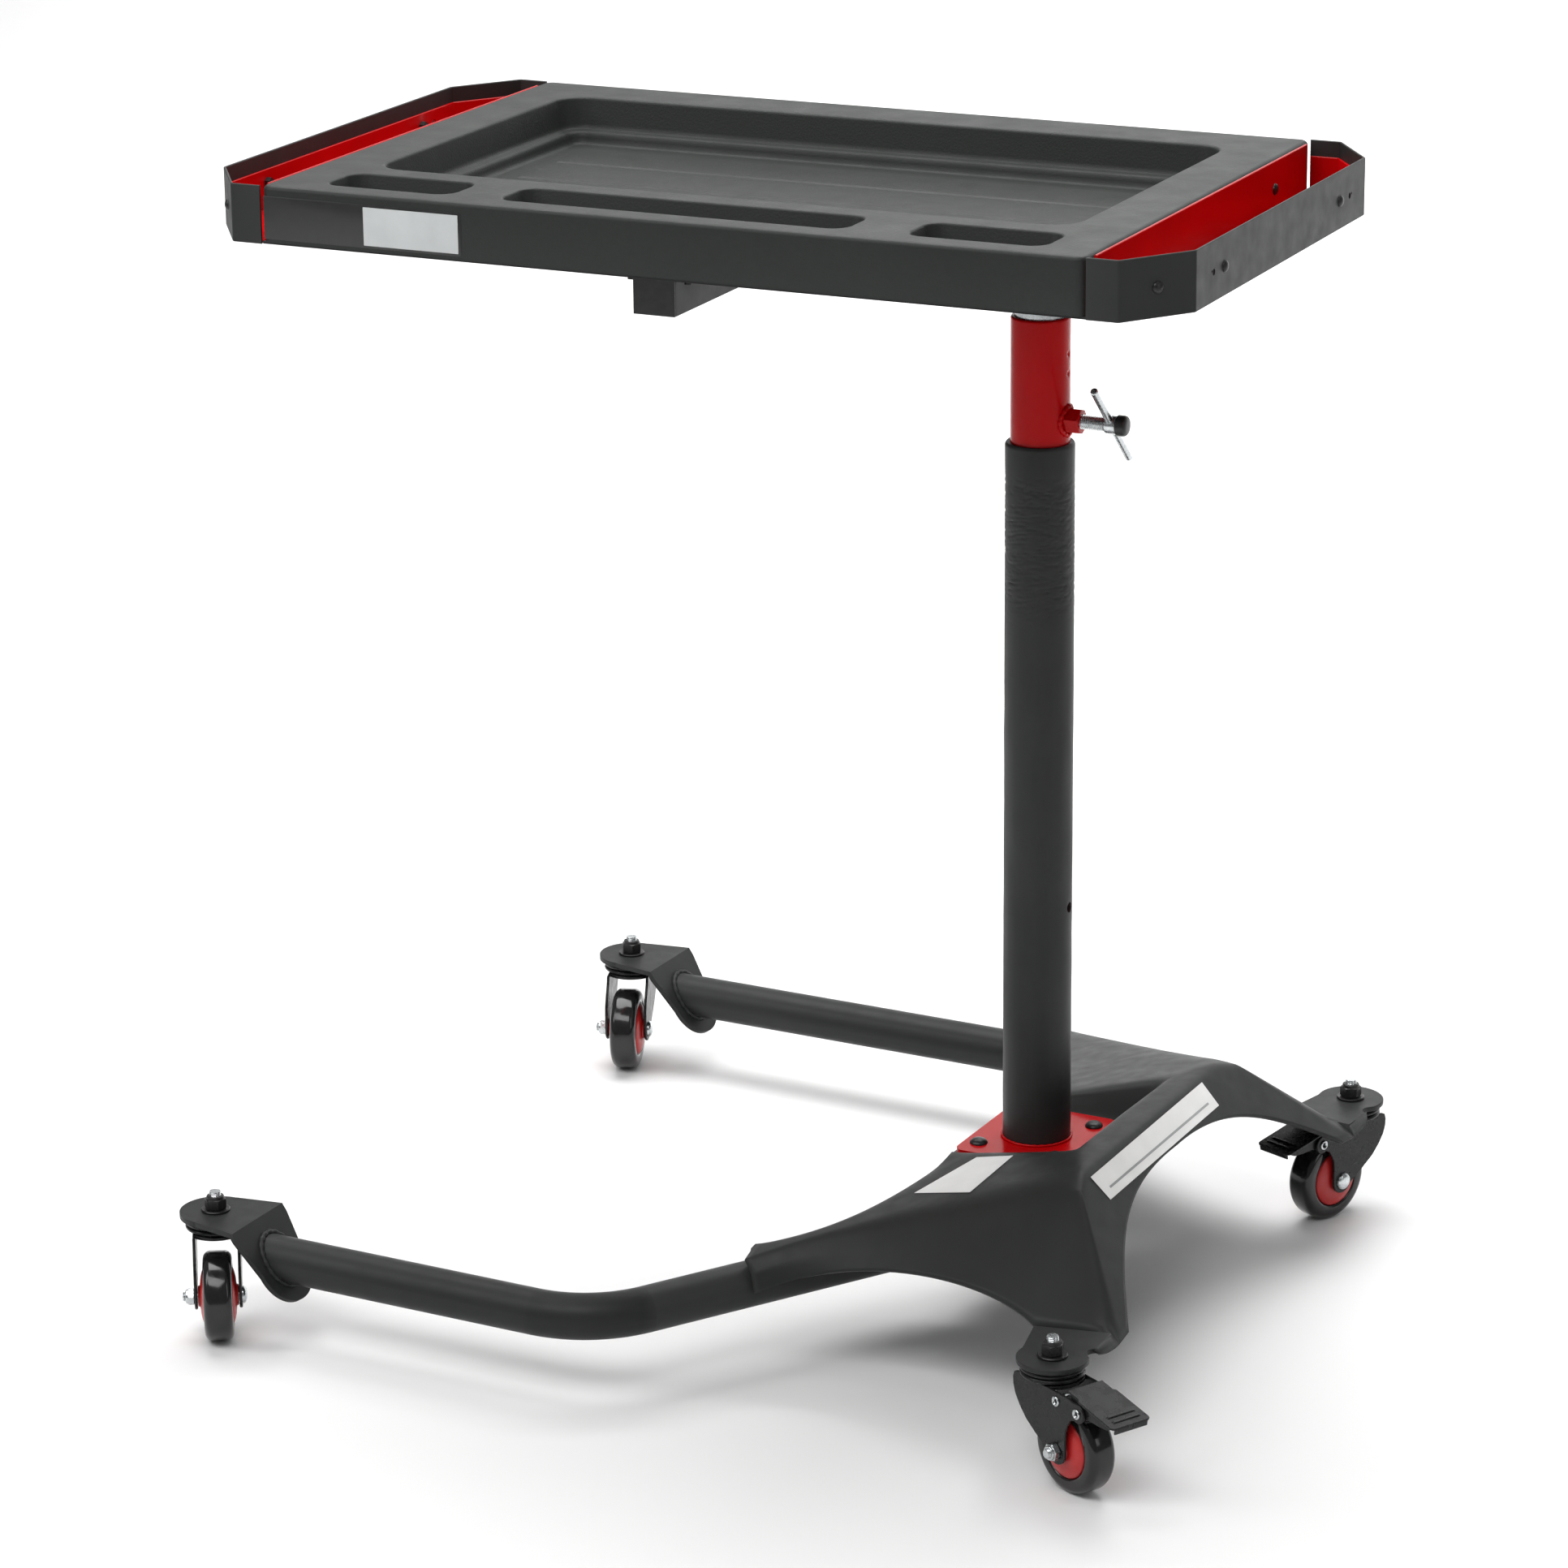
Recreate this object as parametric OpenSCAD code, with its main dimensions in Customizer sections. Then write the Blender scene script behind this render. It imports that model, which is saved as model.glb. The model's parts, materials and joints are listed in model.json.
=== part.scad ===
// Height-adjustable rolling work table for a repair bay. A single mast on a pressed
// steel base carries a cantilevered tear-down tray on a telescoping, swivelling column.
// Millimetres, +Z up. The origin is on the floor, on the axis of the mast. +X points to
// the mast end of the table, and -Y to the side with the three small pockets.

/* [Tray] */
// Length of the moulded tray
tray_l = 701; // [660:1:740]
// Depth of the moulded tray
tray_w = 491; // [480:1:500]
// Height of the tray skirt
skirt_h = 45; // [42:1:50]
// Height of the tray rim above the floor with the column down
rim_z = 951; // [945:1:980]
// Distance from the mast axis to the mast end of the tray
tray_end_x = 136; // [120:1:150]
// Depth of the large basin
basin_depth = 38; // [30:1:38]
// Depth of the three small pockets
pocket_depth = 22; // [12:1:28]

/* [End pans] */
// Reach of each end rail beyond the tray
rail_reach = 66; // [60:1:80]
// Half length of the straight outer side of each rail
rail_half = 190; // [170:1:200]
// Height of the outer lip of each end pan above its floor
lip_h = 32; // [26:1:38]

/* [Mast] */
// Outer diameter of the fixed post
post_d = 48; // [46:0.5:50]
// Wall of the fixed post
post_wall = 3; // [2.5:0.5:3]
// Height of the top of the post
post_top = 844.5; // [830:0.5:845]
// Radial clearance of the sliding column in the post
column_gap = 0.35; // [0.3:0.05:0.5]
// Outer diameter of the soft sleeve
sleeve_d = 57; // [55:0.5:58]
// Height of the top of the sleeve
sleeve_top = 742; // [700:1:744]
// Height of the clamp screw
clamp_z = 761; // [755:1:800]

/* [Base] */
// Outer diameter of the leg tubes
leg_d = 38; // [34:1:38]
// Height of the leg tube axes
leg_z = 70; // [68:1:72]
// Distance of each leg from the centre plane
leg_y = 350; // [340:1:360]
// Thickness of the pressed base cover
cover_t = 3; // [2:0.5:3]
// Turn of the base about the mast, against the table above it
base_turn = -2.85; // [-10:0.05:10]

/* [Casters] */
// Wheel diameter
wheel_d = 75; // [72:1:75]
// Width of the tread
tread_w = 24; // [20:1:25]
// Distance from the swivel axis to the wheel axle
trail = 29.7; // [28:0.1:31]

/* [Hidden] */
$fn = 64;
sheet = 2;
fit = 0.1;
gap = 0.3;

// Casters: swivel axis and the direction in which each wheel trails
front_left = [-586, -leg_y, -57];
rear_left = [-586, leg_y, -70];
front_right = [158, -305, -27];
rear_right = [158, 305, -110];

// Heights of the caster stack, from the floor up
wheel_r = wheel_d / 2;
crown_z = 84;
crown_t = 3;
race_z = 92.2;
ear_z = 97;
ear_top = 101.5;
ear_t = ear_top - ear_z;
stem_top = 118.5;
stem_d = 10;
stem_bore = 10.6;
ear_r = 28.5;

// Base cover
plate_z = 143;
plate_t = 5;
plate_x = 48;
plate_y = 59;
bolt_x = 35;
bolt_y = 38;
ridge_x = 106;
ridge_y = 148;
ridge_z = 184;
floor_x0 = -50;
floor_x1 = 54;
floor_y = 64;
pit_x = 52;
pit_y = 62;

// Leg tubes: straight along the side, then a bend towards the mast. Each leg has the place
// of its bend and the bend's angle; the rear leg bends later, under the cover.
leg_wall = 2.5;
leg_start_x = -524;
bend_r = 90;
front_leg = [-229, 59];
rear_leg = [-141, 62];
frame_x0 = -50;
frame_x1 = 50;
frame_y = 58;
frame_z0 = 50;
frame_t = 4;

// Table stack under the tray
skirt_z = rim_z - skirt_h;
pan_z = skirt_z - sheet;
plates_t = 3;
beam_w = 36;
beam_z = pan_z - plates_t - beam_w;
head_t = 6;
head_z = beam_z - head_t;
cross_x = -241.5;
cross_half = 199;
beam_end_x = 48;
tray_x1 = tray_end_x;
tray_x0 = tray_end_x - tray_l;
tray_y = tray_w / 2;
tray_wall = 3;
tray_corner = 8;
rail_gap = 1.5;
rail_return = 26.5;
rail_t = 2;
rail_z = pan_z;
rail_screw_z = skirt_z + 21;
rail_screw_y = 130;
rail_hole_y = 153;
wall_bolt_y = 154;

// Column
column_d = post_d - 2 * post_wall - 2 * column_gap;
column_wall = 2.5;
column_z0 = 330.3;
guide_h = 12;
guide_spigot = 24;
post_z0 = plate_z + plate_t;

// Clamp screw, along +X
screw_d = 12;
nut_af = 19;
nut_x1 = 36;
pad_x0 = column_d / 2 + gap;
pad_x1 = 24.4;
head_x0 = 56;
head_x1 = 66;
cap_x1 = 75;
bar_x = 61;
bar_d = 6.5;
bar_l = 106;
bar_tilt = 47;

// Basin and pockets, as [x0, y0, x1, y1]
basin = [tray_x0 + 48, -146, tray_x1 - 52, 191];
basin_r = 25;
pocket_y0 = -221;
pocket_y1 = -171;
pocket_r = 14;
pocket_short = 112;
pocket_long = 295;
pocket_side = 44;
pocket_mid = (tray_x0 + tray_x1) / 2 - 4;
pockets = [
    [tray_x0 + pocket_side, pocket_y0, tray_x0 + pocket_side + pocket_short, pocket_y1],
    [pocket_mid - pocket_long / 2, pocket_y0, pocket_mid + pocket_long / 2, pocket_y1],
    [tray_x1 - pocket_side - pocket_short, pocket_y0, tray_x1 - pocket_side, pocket_y1]
];

// ---------------------------------------------------------------- helpers

function unit(v) = v / norm(v);
function sum3(list, i = 0) = i >= len(list) ? [0, 0, 0] : list[i] + sum3(list, i + 1);
function bezier(a, b, c, d, t) =
    pow(1 - t, 3) * a + 3 * t * pow(1 - t, 2) * b + 3 * t * t * (1 - t) * c + pow(t, 3) * d;
function face_normal(p, f) = cross(p[f[2]] - p[f[0]], p[f[1]] - p[f[0]]);
function vertex_normal(p, faces, i) =
    unit(sum3([for (f = faces) if (f[0] == i || f[1] == i || f[2] == i)
        unit(face_normal(p, f))]));
function has_edge(faces, a, b) = len([for (f = faces) for (k = [0:2])
    if (f[k] == a && f[(k + 1) % 3] == b) 1]) > 0;

// Triangles of a strip between two rows of n points that start at index a and index b.
// A triangle whose corners coincide is left out.
function strip(p, a, b, n) = [for (i = [0:n - 2]) for (f = [
        [a + i, b + i, a + i + 1],
        [a + i + 1, b + i, b + i + 1]
    ]) if (norm(face_normal(p, f)) > 0.5) f];

// Index of the first point that lies where point i lies
function first_same(p, i) = [for (j = [0:i]) if (norm(p[j] - p[i]) < 0.01) j][0];

// Sheet metal of thickness t under a triangulated outer surface
module sheet_shell(points, raw_faces, t) {
    faces = [for (f = raw_faces) [for (i = f) first_same(points, i)]];
    n = len(points);
    used = [for (i = [0:n - 1])
        len([for (f = faces) if (f[0] == i || f[1] == i || f[2] == i) 1]) > 0];
    inner = [for (i = [0:n - 1])
        used[i] ? points[i] - t * vertex_normal(points, faces, i) : points[i]];
    rim = [for (f = faces) for (k = [0:2])
        let (a = f[k], b = f[(k + 1) % 3]) if (!has_edge(faces, b, a)) [a, b]];
    polyhedron(
        points = concat(points, inner),
        faces = concat(
            faces,
            [for (f = faces) [f[2] + n, f[1] + n, f[0] + n]],
            [for (e = rim) [e[1], e[0], e[0] + n]],
            [for (e = rim) [e[1], e[0] + n, e[1] + n]]
        )
    );
}

// Rectangle with round corners, from four circles and two squares
module rounded(box, r) {
    x0 = box[0];
    y0 = box[1];
    x1 = box[2];
    y1 = box[3];
    translate([x0 + r, y0]) square([x1 - x0 - 2 * r, y1 - y0]);
    translate([x0, y0 + r]) square([x1 - x0, y1 - y0 - 2 * r]);
    for (x = [x0 + r, x1 - r])
        for (y = [y0 + r, y1 - r])
            translate([x, y]) circle(r);
}

function grown(box, d) = [box[0] - d, box[1] - d, box[2] + d, box[3] + d];

module ring(outer_d, inner_d, h) {
    difference() {
        cylinder(d = outer_d, h = h);
        translate([0, 0, -1]) cylinder(d = inner_d, h = h + 2);
    }
}

module hexagon(af, h) {
    cylinder(d = af / cos(30), h = h, $fn = 6);
}

// Turns what is along Z so that it lies along +X
module along_x() {
    rotate([0, 90, 0]) children();
}

// Low domed bolt head that sits on z = 0
module button_head(d, h) {
    rotate_extrude()
        polygon(concat([[0, 0]], [for (a = [0:15:90]) [d / 2 * cos(a), h * sin(a)]]));
}

module mirrored_y() {
    children();
    mirror([0, 1, 0]) children();
}

// ---------------------------------------------------------------- base

function end_x(z) = ridge_x + 0.88 * (ridge_z - z);

// Each arm holds a leg tube: where it ends on the tube, the tube's direction there, the slopes
// of its top along X and Y, how far its inner skirt stands off the tube, and the control
// points of its crease, its inner edge and its outer edge
front_arm = [
    [-158, -231], 59, [0.3008, 0.1185], [10, 17, 24], [[20, -170], [-90, -190]],
    [[-60, -150], [-80, -200]], [[70, -232, 120], [-60, -198, 112]]
];
rear_arm = [
    [-150, -345], 30, [0.2751, 0.0709], [14, 23, 30], [[30, -205], [-80, -295]],
    [[-75, -140], [-112, -240]], [[60, -248, 124], [-72, -312, 104]]
];

function arm_z(arm, p) =
    ridge_z + arm[2][0] * (p[0] - ridge_x) + arm[2][1] * (p[1] + ridge_y);
function on_arm(arm, p) = [p[0], p[1], arm_z(arm, p)];

// Point beside the leg tube: s along the tube from the arm's end, n across it, height z
function beside_tube(arm, s, n, z) = [
    arm[0][0] + s * cos(arm[1]) + n * sin(arm[1]),
    arm[0][1] + s * sin(arm[1]) - n * cos(arm[1]),
    z
];

cols = 11;
last = cols - 1;
lip_corner = [78, -90];
arm_root = [-46, -66];
ear_corner = [120.5, -260, ear_top];
crest_foot = [180, -246, ear_top];
fold_end = [183, -280, ear_top];

// Rows of points of one half, drawn on the -Y side, each with the same number of columns
function crease(arm) = let (tip = beside_tube(arm, 0, 10, 0), c = arm[4])
    [for (j = [0:last]) let (t = max(0, j - 1) / (last - 1))
        on_arm(arm, bezier([ridge_x, -ridge_y], c[0], c[1], [tip[0], tip[1]], t))];
function inner_edge(arm) = let (tip = beside_tube(arm, 22, -arm[3][0], 0), c = arm[5])
    [for (j = [0:last]) on_arm(arm, j < 5
        ? let (t = max(0, j - 1) / 3) lip_corner * (1 - t) + arm_root * t
        : bezier(arm_root, c[0], c[1], [tip[0], tip[1]], (j - 4) / (last - 4)))];
function outer_edge(arm) = [for (j = [0:last]) j == 0 ? crest_foot
    : bezier(ear_corner, arm[6][0], arm[6][1], beside_tube(arm, 0, 24, 71),
        (j - 1) / (last - 1))];
function outer_mid(top, low) = [for (j = [0:last]) let (t = j / last)
    (top[j] + low[j]) / 2 + pow(t, 4) * [3, -2, 3]];
function inner_skirt(arm, foot, n, z) = [for (j = [0:last]) j < 4
    ? on_arm(arm, arm_root)
    : let (t = (j - 4) / (last - 4))
        [foot[0], foot[1], z] * (1 - t) + beside_tube(arm, 22, -n, z) * t];
function lip_row(arm) = let (low = arm_z(arm, lip_corner)) [for (j = [0:last])
    let (t = max(0, j - 3) / (last - 3))
        [lip_corner[0], lip_corner[1] * (1 - t), low + (lip_z - low) * t]];
lip_z = 182.5;
pit_edge = [for (j = [0:last]) let (t = min(1, max(0, j - 1) / 3))
    [pit_x * (1 - t) + floor_x0 * t, -pit_y, plate_z]];
ridge_row = [for (j = [0:last])
    [ridge_x, -ridge_y * (1 - max(0, j - 3) / (last - 3)), ridge_z]];
arch_row = [for (j = [0:last]) let (
    p = j < 2 ? [-246 + 20 * j, 92 + j]
        : bezier([-222, 94], [-150, 140], [-110, 162], [0, 160.5], (j - 2) / (last - 2)))
    [end_x(p[1]), p[0], p[1]]];
pit_row = [for (j = [0:last])
    [pit_x, -pit_y * (1 - max(0, j - 3) / (last - 3)), plate_z]];

module cover_half(arm) {
    top = crease(arm);
    low = outer_edge(arm);
    rows = [top, inner_edge(arm), outer_mid(top, low), low,
        inner_skirt(arm, [-77, -64], arm[3][1], 92), inner_skirt(arm, [-83, -60], arm[3][2], 72),
        pit_edge, ridge_row, arch_row, lip_row(arm), pit_row];
    flange = [crest_foot, fold_end, [end_x(92), -246, 92], [184.5, -276, 95]];
    p = concat([for (r = rows) each r], flange);
    k = len(rows) * cols;
    faces = concat(
        strip(p, cols, 0, cols),
        strip(p, 0, 2 * cols, cols),
        strip(p, 2 * cols, 3 * cols, cols),
        [for (f = strip(p, 4 * cols, cols, cols)) if (min(f[0] % cols, f[1] % cols) >= 4) f],
        [for (f = strip(p, 5 * cols, 4 * cols, cols)) if (min(f[0] % cols, f[1] % cols) >= 4) f],
        strip(p, 6 * cols, cols, 5),
        strip(p, 8 * cols, 7 * cols, cols),
        strip(p, 7 * cols, 9 * cols, cols),
        strip(p, 9 * cols, 10 * cols, cols),
        [[0, 8 * cols, 2 * cols], [2 * cols, 8 * cols, 3 * cols]],
        [[k + 2, k + 3, k], [k + 3, k + 1, k]]
    );
    sheet_shell(p, faces, cover_t);
}

module ear(x, y) {
    difference() {
        translate([0, 0, ear_z])
            linear_extrude(ear_t)
                union() {
                    polygon([
                        [ear_corner[0], ear_corner[1]], [x - ear_r * 0.97, y - 7],
                        [x, y - 15], [fold_end[0], fold_end[1]],
                        [crest_foot[0] + 1, crest_foot[1]], [crest_foot[0] - 6, crest_foot[1] + 4],
                        [ear_corner[0] + 4, ear_corner[1] + 4]
                    ]);
                    translate([x, y]) circle(ear_r);
                }
        translate([x, y, ear_z - 1]) cylinder(d = stem_bore, h = ear_t + 2);
    }
}

module base_cover() {
    color("#1d1e1f") rotate(base_turn) {
        cover_half(front_arm);
        mirror([0, 1, 0]) cover_half(rear_arm);
        mirrored_y() ear(front_right[0], front_right[1]);
        difference() {
            translate([floor_x0, -floor_y, plate_z - cover_t])
                cube([floor_x1 - floor_x0, 2 * floor_y, cover_t]);
            for (x = [-bolt_x, bolt_x])
                for (y = [-bolt_y, bolt_y])
                    translate([x, y, plate_z - cover_t - 1]) cylinder(d = 10.6, h = cover_t + 2);
        }
    }
}

// Welded box under the cover that ties the two leg tubes together
module center_frame() {
    color("#1d1e1f")
        rotate(base_turn) difference() {
            translate([frame_x0, -frame_y, frame_z0])
                cube([frame_x1 - frame_x0, 2 * frame_y, plate_z - cover_t - frame_z0]);
            translate([frame_x0 + frame_t, frame_t - frame_y, frame_z0 + frame_t])
                cube([frame_x1 - frame_x0 - 2 * frame_t, 2 * (frame_y - frame_t), plate_z]);
        }
}

bracket_fold_x = -545;
bracket_w = 75;
bracket_nose_r = 30;
bracket_slope = 55.9;
bracket_run = 46;
bracket_end_r = 30;
fold_inside = ear_t * tan(bracket_slope / 2);

module at_bracket_fold() {
    translate([bracket_fold_x, -leg_y, ear_top]) rotate([0, bracket_slope, 0]) children();
}

// Round bar of radius r along the axis of a leg on the -Y side
module leg_path(leg, r) {
    corner_x = leg[0];
    angle = leg[1];
    tangent = bend_r * tan(angle / 2);
    translate([leg_start_x - leg_d, -leg_y, leg_z])
        along_x() cylinder(r = r, h = corner_x - tangent - leg_start_x + leg_d);
    translate([corner_x - tangent, bend_r - leg_y, leg_z])
        rotate(-90)
            rotate_extrude(angle = angle)
                translate([bend_r, 0]) circle(r);
    translate([corner_x + tangent * cos(angle), tangent * sin(angle) - leg_y, leg_z])
        rotate([0, 90, angle])
            cylinder(r = r, h = (leg_y - frame_y) / sin(angle) - tangent + leg_d);
}

module leg_tube(leg) {
    difference() {
        leg_path(leg, leg_d / 2);
        leg_path(leg, leg_d / 2 - leg_wall);
        translate([frame_x0 - leg_d * 2, -frame_y, 0]) cube([200, 120, 120]);
        at_bracket_fold() translate([-100, -100, -200]) cube([300, 200, 200]);
    }
}

module leg_tube_front() {
    color("#1d1e1f") rotate(base_turn) leg_tube(front_leg);
}

module leg_tube_rear() {
    color("#1d1e1f") rotate(base_turn) mirror([0, 1, 0]) leg_tube(rear_leg);
}

// Side view of the bent sheet: level over the caster, then down across the tube's end
module bracket_side() {
    run = bracket_run + bracket_end_r;
    down = [cos(bracket_slope), -sin(bracket_slope)];
    across = [-sin(bracket_slope), -cos(bracket_slope)];
    fold = [bracket_fold_x, ear_top];
    polygon([
        [front_left[0], ear_z], [front_left[0], ear_top], fold, fold + run * down,
        fold + run * down + ear_t * across, [bracket_fold_x - fold_inside, ear_z]
    ]);
}

// What is cut away beside the tapered, rounded lower end of the sheet
module bracket_waste() {
    taper = (bracket_w / 2 - bracket_end_r) / bracket_run;
    edge = bracket_end_r * cos(atan(taper));
    difference() {
        translate([bracket_end_r / 4, -bracket_w])
            square([bracket_run + 2 * bracket_end_r, 2 * bracket_w]);
        polygon([
            [0, -edge - taper * bracket_run - 2], [bracket_run, -edge],
            [bracket_run, edge], [0, edge + taper * bracket_run + 2]
        ]);
        translate([bracket_run, 0]) circle(bracket_end_r);
    }
}

// What is cut away on each side of the level part, between its round nose and the fold
module nose_waste() {
    reach = bracket_fold_x - front_left[0];
    half = bracket_w / 2;
    turn = atan(half / reach) + acos(bracket_nose_r / norm([reach, half]));
    touch = bracket_nose_r * [cos(turn), sin(turn)];
    for (side = [-1, 1])
        translate([front_left[0], -leg_y])
            polygon([
                [touch[0], side * touch[1]], [reach, side * half], [reach, side * 2 * half],
                [-2 * half, side * 2 * half], [-2 * half, side * touch[1]]
            ]);
}

module leg_bracket() {
    difference() {
        union() {
            translate([front_left[0], -leg_y, ear_z]) cylinder(r = bracket_nose_r, h = ear_t);
            translate([0, bracket_w / 2 - leg_y, 0])
                rotate([90, 0, 0]) linear_extrude(bracket_w) bracket_side();
        }
        at_bracket_fold()
            translate([0, 0, -2 * ear_t]) linear_extrude(3 * ear_t) bracket_waste();
        translate([0, 0, ear_z - 1]) linear_extrude(ear_t + 2) nose_waste();
        translate([front_left[0], -leg_y, ear_z - 1]) cylinder(d = stem_bore, h = ear_t + 2);
    }
}

module leg_bracket_front() {
    color("#1d1e1f") rotate(base_turn) leg_bracket();
}

module leg_bracket_rear() {
    color("#1d1e1f") rotate(base_turn) mirror([0, 1, 0]) leg_bracket();
}

module at_plate_bolts() {
    for (x = [-bolt_x, bolt_x])
        for (y = [-bolt_y, bolt_y])
            translate([x, y, 0]) children();
}

module mast_plate() {
    color("#b3121a")
        rotate(base_turn) difference() {
            translate([0, 0, plate_z])
                linear_extrude(plate_t)
                    rounded([-plate_x, -plate_y, plate_x, plate_y], 8);
            at_plate_bolts() translate([0, 0, plate_z - 1]) cylinder(d = 10.6, h = plate_t + 2);
        }
}

module plate_bolts() {
    color("#202020")
        rotate(base_turn) at_plate_bolts() {
            translate([0, 0, post_z0]) button_head(15, 4.5);
            translate([0, 0, 128]) cylinder(d = 10, h = post_z0 - 128);
            translate([0, 0, 131.5]) hexagon(16, plate_z - cover_t - 131.5);
        }
}

module mast_post() {
    color("#b3121a")
        difference() {
            translate([0, 0, post_z0])
                ring(post_d, post_d - 2 * post_wall, post_top - post_z0);
            translate([post_d / 4, 0, clamp_z]) along_x() cylinder(d = 13, h = post_d / 2);
        }
}

sleeve_gap = 0.1;
sleeve_hole_z = 352;

module mast_sleeve() {
    color("#262626")
        difference() {
            translate([0, 0, post_z0 + gap])
                ring(sleeve_d, post_d + 2 * sleeve_gap, sleeve_top - post_z0 - gap);
            translate([post_d / 4, 0, sleeve_hole_z])
                along_x() cylinder(d = 9, h = post_d / 2);
        }
}

module clamp_nut() {
    color("#b3121a")
        difference() {
            translate([post_d / 2 - 4, 0, clamp_z])
                along_x() hexagon(nut_af, nut_x1 - post_d / 2 + 4);
            translate([0, 0, clamp_z - nut_af]) cylinder(d = post_d, h = 2 * nut_af);
            translate([0, 0, clamp_z])
                along_x() cylinder(d = screw_d + 2 * fit, h = nut_x1 + 1);
        }
}

nut_af_stem = 16;
nut_h = 9;
washer_d = 24;

module stem_nuts() {
    color("#202020")
        for (c = [front_left, rear_left, front_right, rear_right])
            at_caster(c)
                translate([0, 0, ear_top]) difference() {
                    union() {
                        cylinder(d = washer_d, h = 2);
                        translate([0, 0, 2]) hexagon(nut_af_stem, nut_h);
                        translate([0, 0, 2 + nut_h]) cylinder(d = 14, h = 2.5);
                    }
                    translate([0, 0, -1]) cylinder(d = stem_d + 2 * fit, h = 20);
                }
}

// ---------------------------------------------------------------- clamp

module on_screw_axis(x) {
    translate([x, 0, clamp_z]) along_x() children();
}

module clamp_pad() {
    color("#b08d57") on_screw_axis(pad_x0) cylinder(d = 9, h = pad_x1 - pad_x0);
}

module tommy_axis() {
    translate([bar_x, 0, clamp_z]) rotate([bar_tilt, 0, 0]) children();
}

module clamp_screw() {
    color("#c9ccd0")
        difference() {
            union() {
                on_screw_axis(pad_x1 + fit) cylinder(d = screw_d, h = head_x0 - pad_x1 - fit);
                on_screw_axis(head_x0) cylinder(d = 15, h = head_x1 - head_x0);
            }
            tommy_axis() cylinder(d = bar_d + 2 * fit, h = 40, center = true);
        }
}

module clamp_cap() {
    color("#1a1a1a") on_screw_axis(head_x1) cylinder(d = 17, h = cap_x1 - head_x1);
}

module tommy_bar() {
    color("#c9ccd0") tommy_axis() cylinder(d = bar_d, h = bar_l, center = true);
}

// ---------------------------------------------------------------- column

module column_guide() {
    color("#e8e6df")
        difference() {
            union() {
                translate([0, 0, column_z0 - guide_h - gap])
                    cylinder(d = post_d - 2 * post_wall - 2 * fit, h = guide_h);
                translate([0, 0, column_z0 - gap])
                    cylinder(d = column_d - 2 * column_wall - 2 * fit, h = guide_spigot);
            }
            translate([0, 0, column_z0 - guide_h - 1]) cylinder(d = 20, h = 60);
        }
}

module column_tube() {
    color("#c9ccd0")
        translate([0, 0, column_z0])
            ring(column_d, column_d - 2 * column_wall, head_z - column_z0);
}

module column_head_plate() {
    color("#1d1e1f")
        translate([0, 0, head_z])
            linear_extrude(head_t) rounded([-45, -45, 45, 45], 8);
}

module box_tube(l, w, t) {
    difference() {
        cube([l, w, w]);
        translate([-1, t, t]) cube([l + 2, w - 2 * t, w - 2 * t]);
    }
}

module support_beam() {
    color("#1d1e1f")
        translate([cross_x + beam_w / 2, -beam_w / 2, beam_z])
            box_tube(beam_end_x - cross_x - beam_w / 2, beam_w, column_wall);
}

module cross_tube() {
    color("#1d1e1f")
        translate([cross_x + beam_w / 2, -cross_half, beam_z])
            rotate(90) box_tube(2 * cross_half, beam_w, column_wall);
}

module tube_cap() {
    translate([-beam_w / 2, -beam_w / 2, 0]) cube([beam_w, beam_w, sheet]);
    plug_w = beam_w - 2 * column_wall - 2 * fit;
    translate([-plug_w / 2, -plug_w / 2, -12]) cube([plug_w, plug_w, 12]);
}

module tube_caps() {
    mid_z = beam_z + beam_w / 2;
    color("#161616") {
        translate([cross_x, -cross_half, mid_z]) rotate([90, 0, 0]) tube_cap();
        translate([cross_x, cross_half, mid_z]) rotate([-90, 0, 0]) tube_cap();
        translate([beam_end_x, 0, mid_z]) along_x() tube_cap();
    }
}

cross_plate = 31;
cross_plate_y = [145, 205];
mast_mount = 60;
bolt_side = 24.6;
mast_bolt = 45;
support_places = concat(
    [for (s = [-1, 1]) for (x = [-bolt_side, bolt_side]) for (y = [160, 190])
        [cross_x + x, s * y]],
    [for (x = [-mast_bolt, mast_bolt]) for (y = [-mast_bolt, mast_bolt]) [x, y]]
);

module support_holes() {
    for (p = support_places)
        translate([p[0], p[1], beam_z]) cylinder(d = 6.6, h = beam_w + 20);
}

module mounting_plates() {
    color("#1d1e1f")
        difference() {
            union() {
                for (y = [-cross_plate_y[1], cross_plate_y[0]])
                    translate([cross_x - cross_plate, y, beam_z + beam_w])
                        cube([2 * cross_plate, cross_plate_y[1] - cross_plate_y[0], plates_t]);
                translate([-mast_mount, -mast_mount, beam_z + beam_w])
                    cube([2 * mast_mount, 2 * mast_mount, plates_t]);
            }
            support_holes();
        }
}

module support_bolts() {
    color("#202020")
        for (p = support_places)
            translate([p[0], p[1], 0]) {
                translate([0, 0, skirt_z]) button_head(11, 3.3);
                translate([0, 0, skirt_z - 16]) cylinder(d = 6, h = 16);
                translate([0, 0, beam_z + beam_w - 5]) hexagon(10, 5);
            }
}

// ---------------------------------------------------------------- table

module table_pan() {
    color("#1d1e1f")
        difference() {
            translate([tray_x0, 2 - tray_y, pan_z]) cube([tray_l, 2 * tray_y - 4, sheet]);
            support_holes();
        }
}

// Puts what is drawn outward along +X at the mast end or at the far end of the tray
module at_end(right) {
    if (right) translate([tray_x1, 0, 0]) children();
    else translate([tray_x0, 0, 0]) mirror([1, 0, 0]) children();
}

chamfer_angle = atan2(tray_y - rail_half, rail_reach - rail_return);

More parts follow.
